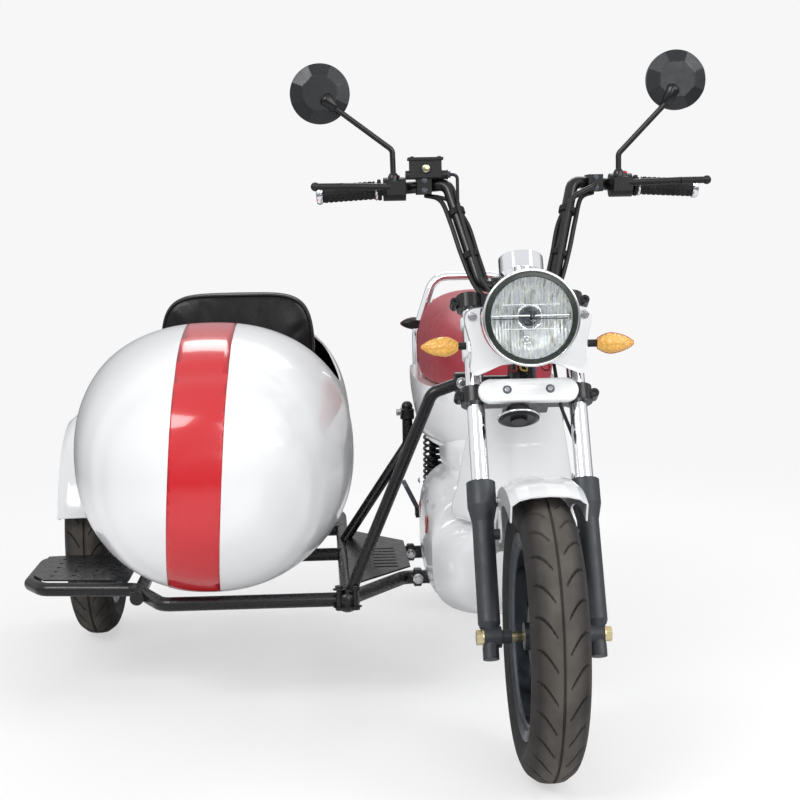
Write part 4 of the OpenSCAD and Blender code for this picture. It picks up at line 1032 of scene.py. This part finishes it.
def add_pane():
    rows = []
    for i in range(1, 31):
        r = LENS_R * i / 30
        ring = []
        for turn in (math.tau * j / PANE_SIDES for j in range(PANE_SIDES)):
            x = r * math.cos(turn)
            flute = FLUTE_H * abs(math.sin(math.pi * x / FLUTE_W)) * (1 - (r / LENS_R) ** 8)
            ring.append(lamp(x, PANE_Y + PANE_BULGE * (r / LENS_R) ** 2 + flute, r * math.sin(turn)))
        rows.append(ring)
    shape = Shape().strips(rows, caps=False)
    shape.faces.append(tuple(range(PANE_SIDES)))
    pane = piece("lamp_pane", shape, "lamp_glass", "steering", sharp=70, stands_for=["lamp_lens"],
                 outward=False)
    modify(pane, "pane", "SOLIDIFY", thickness=2.5 * MM, offset=-1)


def add_lamp():
    ahead = (0, 1, 0)
    add_pane()
    profile = [(69.5, 7), (66, 14), (55, 24), (38, 33), (18, 38), (9, 39)]
    # Its finish carries painted reflections in the tones of the flutes.
    bowl = piece("lamp_bowl", Shape().lathe(profile, LAMP, ahead, 40, caps=False), "bowl_painted_reflections",
                 "steering", sharp=5)
    modify(bowl, "bowl", "SOLIDIFY", thickness=0.8 * MM)
    profile = [(66.8, -9.4), (68, -11), (74, -9.6), (75, -7.5), (74, -5.5), (66.8, -6), (66.8, -9.4)]
    piece("lamp_gasket", Shape().lathe(profile, LAMP, ahead, 96, caps=False), "gasket_green",
          "steering")
    bulb = Shape().ring(lamp(0, 20, 0), ahead, 20, 2.6, 64)
    bulb.ring(lamp(-4, 26, -38), ahead, 6.5, 1.4, 40)
    bulb.ball(lamp(-4, 28, -38), 4.5)
    for z, half, radius in ((3, 64, 1.7), (21, 48, 0.9), (-19, 48, 0.9)):
        bulb.tube([lamp(-half, 9, z), lamp(half, 9, z)], radius, 12)
    piece("lamp_bulbs", bulb, "bright_chrome", "steering")
    shade = Shape().lathe([(15, 40), (15, 26), (12, 22), (8, 24), (7, 28)], LAMP, ahead, 40)
    shade.tube([lamp(-62, 11, -2.5), lamp(62, 11, -2.5)], 0.9, 10)
    piece("lamp_shade", shade, "alloy_grey", "steering")
    rim = Shape().ring(lamp(0, -5, 0), ahead, 77.3, 3, 96)
    piece("lamp_rim", rim, "bright_chrome", "steering")


def leaves(root, size, grow=0.0):
    """Closed leaves of a pair of turn signals."""
    shape = Shape()
    for k in (-1, 1):
        shape.strips([[(k * (root[0] + size * p.y), root[1] - size * p.x, root[2] + size * p.z)
                       for p in section(row, 48, grow)] for row in smooth(LEAF_ROWS, 6)])
    return shape


def add_signals():
    for end, body, root, size, ahead in SIGNALS:
        front = piece(f"{end}_signal_glass", leaves(root, size), "lens_amber", body,
                      stands_for=[f"{end}_signal_lenses"])
        cut(front, root, (0, -ahead, 0))
        hood = piece(f"{end}_signal_hood", leaves(root, size), "plastic_black", body)
        cut(hood, root, (0, ahead, 0))
        ridge = Shape()
        for k in (-1, 1):
            line = [(k * (root[0] + size * a), root[1] + ahead * size * d, root[2])
                    for a, d in RIDGE]
            ridge.tube(smooth(line, 5), 1.1, 8)
        piece(f"{end}_signal_ridge", ridge, "lens_amber", body)
        rim = piece(f"{end}_signal_rim", leaves(root, size, 0.9), "lens_red", body)
        for way in (1, -1):
            cut(rim, (0, root[1] + 1.2 * way, 0), (0, way, 0))


def mirror_back(centre, r, turn):
    """Point on a mirror's faceted back."""
    width = math.tau / MIRROR_FACETS
    off = (turn + width / 2) % width - width / 2
    height = min(MIRROR_DEPTH, max(MIRROR_DEPTH - 0.5 * (r * math.cos(off) - 31), 0))
    return centre + Vector((r * math.cos(turn), -height, r * math.sin(turn)))


def add_mirrors():
    shells, arms = Shape(), Shape()
    turns = [math.tau * j / MIRROR_SIDES for j in range(MIRROR_SIDES)]
    for points in MIRRORS:
        foot, knee, end, centre = (Vector(p) for p in points)
        rows = [[mirror_back(centre, MIRROR_R * i / 26, t) for t in turns] for i in range(1, 27)]
        for r, y in ((MIRROR_R, 12), (MIRROR_R - 1.5, 14), (MIRROR_R - 3, 13.4), (MIRROR_R - 3, 10)):
            rows.append([centre + Vector((r * math.cos(t), y, r * math.sin(t))) for t in turns])
        shells.strips(rows)
        arms.tube(bent([foot, knee, end, end.lerp(centre, 0.5)], 12), 5, 20)
        arms.lathe([(9.5, 0), (9.5, 9), (7, 13), (5, 15)], foot, (0, 0, 1), 24)
        way = (centre - Vector((0, 8, 0)) - end) * 0.55
        long = way.length
        boot = [(6.5, -4), (9, 0), (13, long), (11.5, long + 5), (6, long + 9)]
        arms.lathe(boot, end, way, 28)
    piece("mirror_shells", shells, "mirror_black", "steering", sharp=11, stands_for=["mirrors"])
    piece("mirror_arms", arms, "frame_black", "steering")


GRIP_FROM = 56
GRIP_R, GRIP_BLOCK_R = 15.2, 16.3
GRIP_STEPS, GRIP_SIDES = 72, 64


def grip_radius(i, j):
    """Radius of a grip's sleeve at step i along it and side j: blocks in offset rows, with gaps."""
    gap = i % 6 < 2 or (j + 4 * (i // 6 % 2)) % 8 < 2
    return GRIP_R if gap else GRIP_BLOCK_R


def add_grips():
    sleeves, rings = Shape(), Shape()
    start, end = Vector(BAR_POINTS[6]), Vector(BAR_POINTS[7])
    way = (end - start).normalized()
    length = (end - start).length
    flange = [(13, 50), (18, 50), (19, 51.5), (19, 55), (17, 57)]
    near = [(13, 57), (17.4, 57), (18.4, 58.2), (18.4, 60.4), (17.4, 61.5), (13, 61.5)]
    far = [(13, length - 6), (17.5, length - 6), (18.5, length - 4), (18.5, length),
           (16, length + 4), (9, length + 5)]
    for k in (1, -1):
        flip = Vector((k, 1, 1))
        root, axis = start * flip, way * flip
        side = axis.orthogonal().normalized()
        other = axis.cross(side)
        rows = []
        for i in range(GRIP_STEPS + 1):
            spot = root + axis * (GRIP_FROM + (length - GRIP_FROM) * i / GRIP_STEPS)
            rows.append([spot + grip_radius(i, j) * (side * math.cos(t) + other * math.sin(t))
                         for j, t in ((j, math.tau * j / GRIP_SIDES) for j in range(GRIP_SIDES))])
        sleeves.strips(rows)
        sleeves.lathe(flange, root, axis, 40)
        rings.lathe(near, root, axis, 40).lathe(far, root, axis, 40)
    piece("grip_sleeves", sleeves, "grip_rubber", "steering", sharp=CREASE, stands_for=["grips"])
    piece("grip_rings", rings, "bright_chrome", "steering")


SIGHT = (-150, 378, 983)


def add_bar_trim():
    steel, buttons = Shape(), Shape()
    for x in (-174, -126):
        for y in (381, 411):
            steel.lathe([(3.2, 0), (3.2, 1.2), (2.4, 1.9)], (x, y, 1003), (0, 0, 1), 20)
    for k in (-1, 1):
        steel.bolt((k * 206, 392, 962), (0, 0, 1), 5, 6)
        for z in (944, 962):
            steel.bolt((k * 153, 382, z), (0, -1, 0), 3.6, 4.5)
        buttons.block((k * 204 - 9, 401, 967), (k * 204 + 9, 413, 974), 2)
        buttons.lathe([(6, 0), (6, 4), (4.5, 5.5)], (k * 212, 446, 951), (0, 1, 0), 24)
    steel.lathe([(8.5, 0), (8.5, 3), (7.2, 4.4)], SIGHT, (0, -1, 0), 36)
    steel.bolt((-112, 386, 972), (1, 0, 0), 6, 6)
    piece("bar_screws", steel, "alloy_grey", "steering", sharp=CREASE)
    sight = Shape().lathe([(6.6, 4.2), (6.6, 4.9), (5, 5.6)], SIGHT, (0, -1, 0), 32)
    piece("sight_glass", sight, "zinc_steel", "steering")
    piece("bar_buttons", buttons, "wire_red", "steering")


# Fittings at the head of the fork

COVER_T = -25.3
COVER_S = 408.0
# Rings of the yoke's cover: length, radius and depth
COVER_RINGS = ((126, 20.5, 0), (126, 21, 1.5), (126, 21, 7.5), (126, 20.3, 9.6), (126, 18.6, 11.2),
               (126, 16.5, 12), (31, 10, 12), (30, 9, 10.8))
EAR_R = 80.4
EAR_PIN_X = 92
LEG_X = 86
HORN = Vector((-17, 158, 562))
HORN_TILT = math.radians(150)
DIAL = fork(0, -52, 636.2)


def pill(length, radius, depth):
    """Ring of a long rounded outline that lies in front of the lower yoke."""
    ring = []
    for i in range(64):
        a = math.tau * (i + 0.5) / 64
        x = math.copysign(length / 2, math.cos(a)) + radius * math.cos(a)
        ring.append(fork(x, COVER_T - depth, COVER_S + radius * math.sin(a)))
    return ring


# Outer edge of a lamp bracket: x and z
EAR_LINE = [(66, 747), (78, 746), (92, 744), (102, 738), (105, 724), (101, 706), (96, 686),
            (94, 668), (97, 652), (96, 640), (88, 634), (70, 640), (46, 650), (24, 652)]


def add_ears():
    """Crescent plates that carry the lamp, with their clamps on the fork tubes."""
    plates, clamps = Shape(), Shape()
    outer = smooth(EAR_LINE, 6)
    last = len(outer) - 1
    turns = [math.radians(10.5 - 88.5 * i / last) for i in range(last + 1)]
    inner = [(LAMP.x + EAR_R * math.cos(a), LAMP.z + EAR_R * math.sin(a)) for a in turns]
    for k in (-1, 1):
        rows = []
        for y, inset in ((148.4, 1.0), (148, 0), (176, 0), (177.4, 1.0), (178, 2.5)):
            share = min(inset / 12, 0.4)
            left, right = ([(k * (ax + (bx - ax) * share), y, az + (bz - az) * share)
                            for (ax, az), (bx, bz) in zip(one, two)]
                           for one, two in ((outer, inner), (inner, outer)))
            rows.append(left + right[::-1])
        plates.strips(rows)
        for s in (488, 545):
            clamps.lathe([(15.2, -9), (18.5, -8), (18.5, 8), (15.2, 9)], fork(k * LEG_X, 0, s),
                         FORK_UP, 36, caps=False)
            low = fork(k * EAR_PIN_X, 0, s)
            clamps.tube([low, Vector((low.x, 176, low.z))], 7, 16)
    piece("ear_plates", plates, "body_white", "steering", sharp=30, stands_for=["lamp_bracket"])
    piece("ear_clamps", clamps, "body_white", "steering")


def add_yoke_cover():
    piece("cover_plate", Shape().strips([pill(*r) for r in COVER_RINGS]), "body_white", "steering",
          sharp=50, stands_for=["yoke_cover"])
    steel, well_shade_rings = Shape(), Shape()
    for x in (-36, 36):
        spot = fork(x, COVER_T - 12, COVER_S)
        # Painted shade: a dark grey ring stands in for the shade inside each white screw recess.
        well_shade_rings.lathe([(7.5, -0.5), (7.5, 0.5), (6.9, 0.9), (5.5, 0.9)], spot, -FORK_BACK, 32)
        steel.lathe([(5, 0.5), (5, 2.8), (4.2, 3.4)], spot, -FORK_BACK, 6)
    for k in (-1, 1):
        steel.bolt((k * 93, 148, 732), (0, -1, 0), 5, 5)
        for t in (-7, 7):
            steel.bolt(fork(k * 60, t, 225), (k, 0, 0), 4.2, 4.5)
    for s in (32, 66):
        steel.bolt(fork(64, 78, s), (1, 0, 0), 5, 5)
    piece("fork_screws", steel, "bolt_steel", "steering", sharp=CREASE)
    # Rings of painted shade in the screw recesses.
    piece("screw_well_shade_rings", well_shade_rings, "alloy_grey", "steering")


def add_horn():
    way = Vector((0, -math.sin(HORN_TILT), math.cos(HORN_TILT)))
    rim = Shape().ring(HORN + way * 1.5, way, 35, 1.7, 72)
    piece("horn_rim", rim, "bright_chrome", "steering")
    brass = Shape()
    for x in (-27, -7):
        brass.block((x - 3, 164, 579), (x + 3, 166, 588), 0.6)
    piece("horn_terminals", brass, "zinc_steel", "steering")


def add_dial():
    face = Shape().lathe([(33.6, 0), (33.6, 0.6), (32, 0.9)], DIAL, FORK_UP, 64)
    piece("dial_face", face, "plastic_black", "steering")
    marks = Shape()
    side, up = Vector((1, 0, 0)), -FORK_BACK
    for i in range(25):
        a = math.radians(-30 + 240 * i / 24)
        way = side * math.cos(a) + up * math.sin(a)
        near = 25 if i % 4 == 0 else 28
        marks.tube([DIAL + FORK_UP * 1.1 + way * r for r in (near, 31)], 0.55, 6)
    piece("dial_marks", marks, "dial_white", "steering")
    needle = Shape().tube([DIAL + FORK_UP * 2.2 + side * x for x in (4, -24)], [1.2, 0.5], 8)
    needle.lathe([(3.4, 0.9), (3.4, 2.6), (2.4, 3.4)], DIAL, FORK_UP, 24)
    piece("dial_needle", needle, "wire_red", "steering")


# Solids that keep their CAD shape

NODE_FINISH = {
    "frame_black": "main_frame swingarm sidecar_floor sidecar_axle fork_yokes",
    "plastic_black": "battery_block rear_fender rear_signal_stalks horn front_signal_stalks "
                     "bar_controls brake_caliper",
    "lens_red": "tail_lamp",
    "zinc_steel": "rear_axle front_axle",
    "body_white": "sidecar_mudguard front_fender",
    "alloy_grey": "right_footrest left_footrest front_rim rear_hub sidecar_rim",
    "bright_chrome": "fork_tubes lamp_shell speedometer",
    "fork_charcoal": "fork_sliders",
    "mirror_face": "mirror_glass",
    "disc_steel": "brake_disc",
}
ROUND_BELOW = 36
ROUND_NODES = ("main_frame", "front_signal_stalks", "rear_signal_stalks", "sidecar_mudguard")


def round_shading():
    """Node group that welds a solid's faces and shades its shallow edges smooth."""
    group = bpy.data.node_groups.new("round_shading", "GeometryNodeTree")
    for way in ("INPUT", "OUTPUT"):
        group.interface.new_socket("Geometry", in_out=way, socket_type="NodeSocketGeometry")
    start = add_node(group, "NodeGroupInput").outputs[0]
    plain = add_node(group, "GeometryNodeRemoveAttribute",
                     {"Geometry": start, "Name": "custom_normal"}).outputs["Geometry"]
    weld = add_node(group, "GeometryNodeMergeByDistance",
                    {"Geometry": plain, "Distance": 0.01 * MM}).outputs["Geometry"]
    faces = add_node(group, "GeometryNodeSetShadeSmooth", {"Geometry": weld}).outputs["Geometry"]
    angle = add_node(group, "GeometryNodeInputMeshEdgeAngle").outputs["Unsigned Angle"]
    steep = add_node(group, "FunctionNodeCompare", {"A": angle, "B": math.radians(ROUND_BELOW)})
    edges = add_node(group, "GeometryNodeSetShadeSmooth",
                     {"Geometry": faces, "Selection": steep.outputs["Result"],
                      "Shade Smooth": False}, domain="EDGE")
    add_node(group, "NodeGroupOutput", {0: edges.outputs["Geometry"]})
    return group


def dress_nodes():
    group = round_shading()
    for finish, nodes in NODE_FINISH.items():
        for node in nodes.split():
            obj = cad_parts[node]
            obj.data.materials.clear()
            obj.data.materials.append(FINISH[finish])
            if node in ROUND_NODES:
                modify(obj, "round_shading", "NODES", node_group=group)


# Floor and light

SKY = 0.93
AMBIENT = 0.5
FLAG = 0.5
SKY_STOPS = ((0.42, 0.20), (0.62, 0.92))
FLOOR = 0.82
FLOOR_SEEN = 0.42
FLOOR_LIFT = 0.55
FLOOR_FADE = 0.28
FLOOR_AT = (-286, 635, 0)
FLOOR_R = 3800
FLOOR_SIDES = 64
# Name, place and target in metres, size and power
LIGHTS = (("key", (-2.4, -3.2, 3.6), (0, -0.2, 0.5), (2.4, 1.6), 98),
          ("fill", (3.0, -2.4, 2.6), (0, 0, 0.5), (1.6, 2.2), 58),
          ("front", (1.0, -3.6, 1.9), (-0.3, -0.3, 0.5), (1.8, 1.8), 28),
          ("back", (0.4, 2.8, 3.6), (0, 0.3, 0.5), (3.0, 1.4), 60))


def add_light(name, place, target, size, power):
    data = settle(bpy.data.lights.new(name, "AREA"), shape="RECTANGLE", size=size[0],
                  size_y=size[1], energy=power)
    way = Vector(target) - Vector(place)
    settle(new_object(name, data), location=place,
           rotation_euler=way.to_track_quat("-Z", "Y").to_euler())


def add_world():
    """Sky: plain to the camera, dim as light, and darker low down and behind in reflections."""
    world = bpy.data.worlds.new("studio")
    bpy.context.scene.world = world
    world.use_nodes = True
    tree = world.node_tree
    node = shader_nodes(tree)
    path = node("LightPath").outputs
    seen = node("Math", {0: path["Is Camera Ray"], 1: path["Is Transmission Ray"]},
                operation="MAXIMUM")
    split = node("SeparateXYZ", {0: node("TexCoord").outputs["Generated"]}).outputs
    scaled = node("MapRange", {"Value": split["Z"], "From Min": -1})
    height = node("ValToRGB", {"Fac": scaled.outputs["Result"]})
    for element, (position, level) in zip(height.color_ramp.elements, SKY_STOPS):
        settle(element, position=position, color=grey(level, 1.02))
    behind = node("MapRange", {"Value": split["Y"], "From Min": 0.35, "From Max": 0.75,
                               "To Min": 1.0, "To Max": FLAG}, interpolation_type="SMOOTHSTEP")
    flagged = node("VectorMath", {0: height.outputs["Color"], "Scale": behind.outputs["Result"]},
                   operation="SCALE")
    shine = node("Mix", {"Factor": path["Is Glossy Ray"], "A": grey(AMBIENT, 1.03),
                         "B": flagged.outputs["Vector"]}, data_type="RGBA")
    final = node("Mix", {"Factor": seen.outputs[0], "A": shine.outputs["Result"], "B": grey(SKY)},
                 data_type="RGBA")
    plug(tree, tree.nodes["Background"], {"Color": final.outputs["Result"]})


def floor_material():
    """Pale floor that fades out to the sky and looks as light as it to the camera."""
    material = bpy.data.materials.new("floor")
    material.use_nodes = True
    tree = material.node_tree
    node = shader_nodes(tree)
    shader = tree.nodes["Principled BSDF"]
    seen = node("LightPath").outputs["Is Camera Ray"]
    tone = node("Mix", {"Factor": seen, "A": grey(FLOOR), "B": grey(FLOOR_SEEN)}, data_type="RGBA")
    lift = node("Math", {0: seen, 1: FLOOR_LIFT}, operation="MULTIPLY")
    plug(tree, shader, {"Roughness": 0.9, "Specular IOR Level": 0.0, "Emission Color": (1, 1, 1, 1),
                        "Base Color": tone.outputs["Result"], "Emission Strength": lift.outputs[0]})
    place = node("TexCoord").outputs["Object"]
    shrink = node("Mapping", {"Vector": place, "Scale": (FLOOR_FADE,) * 3})
    fade = node("TexGradient", {"Vector": shrink.outputs["Vector"]}, gradient_type="SPHERICAL")
    spread = node("MapRange", {"Value": fade.outputs["Fac"], "From Min": 0.1, "From Max": 0.6})
    mix = node("MixShader", {"Fac": spread.outputs["Result"],
                             1: node("BsdfTransparent").outputs[0], 2: shader.outputs[0]})
    plug(tree, tree.nodes["Material Output"], {"Surface": mix.outputs[0]})
    return material


def add_floor():
    shape = Shape().lathe([(0.5, 0), (FLOOR_R, 0)], FLOOR_AT, (0, 0, 1), FLOOR_SIDES, caps=False)
    faces = shape.faces + [tuple(range(FLOOR_SIDES))]
    mesh = mesh_of("floor", [at(*p) for p in shape.points], faces, outward=False)
    mesh.materials.append(floor_material())
    new_object("floor", mesh)


def add_studio():
    bpy.context.scene.view_settings.view_transform = "Standard"
    add_world()
    add_floor()
    for light in LIGHTS:
        add_light(*light)


add_camera()
dress_nodes()
add_saddle()
add_sidecar_seat()
add_tub()
add_stripe()
add_covers()
add_tyres()
add_tubes()
add_cables()
add_shocks()
add_lamp()
add_signals()
add_mirrors()
add_grips()
add_bar_trim()
add_ears()
add_yoke_cover()
add_horn()
add_dial()
add_studio()

bpy.context.view_layer.update()
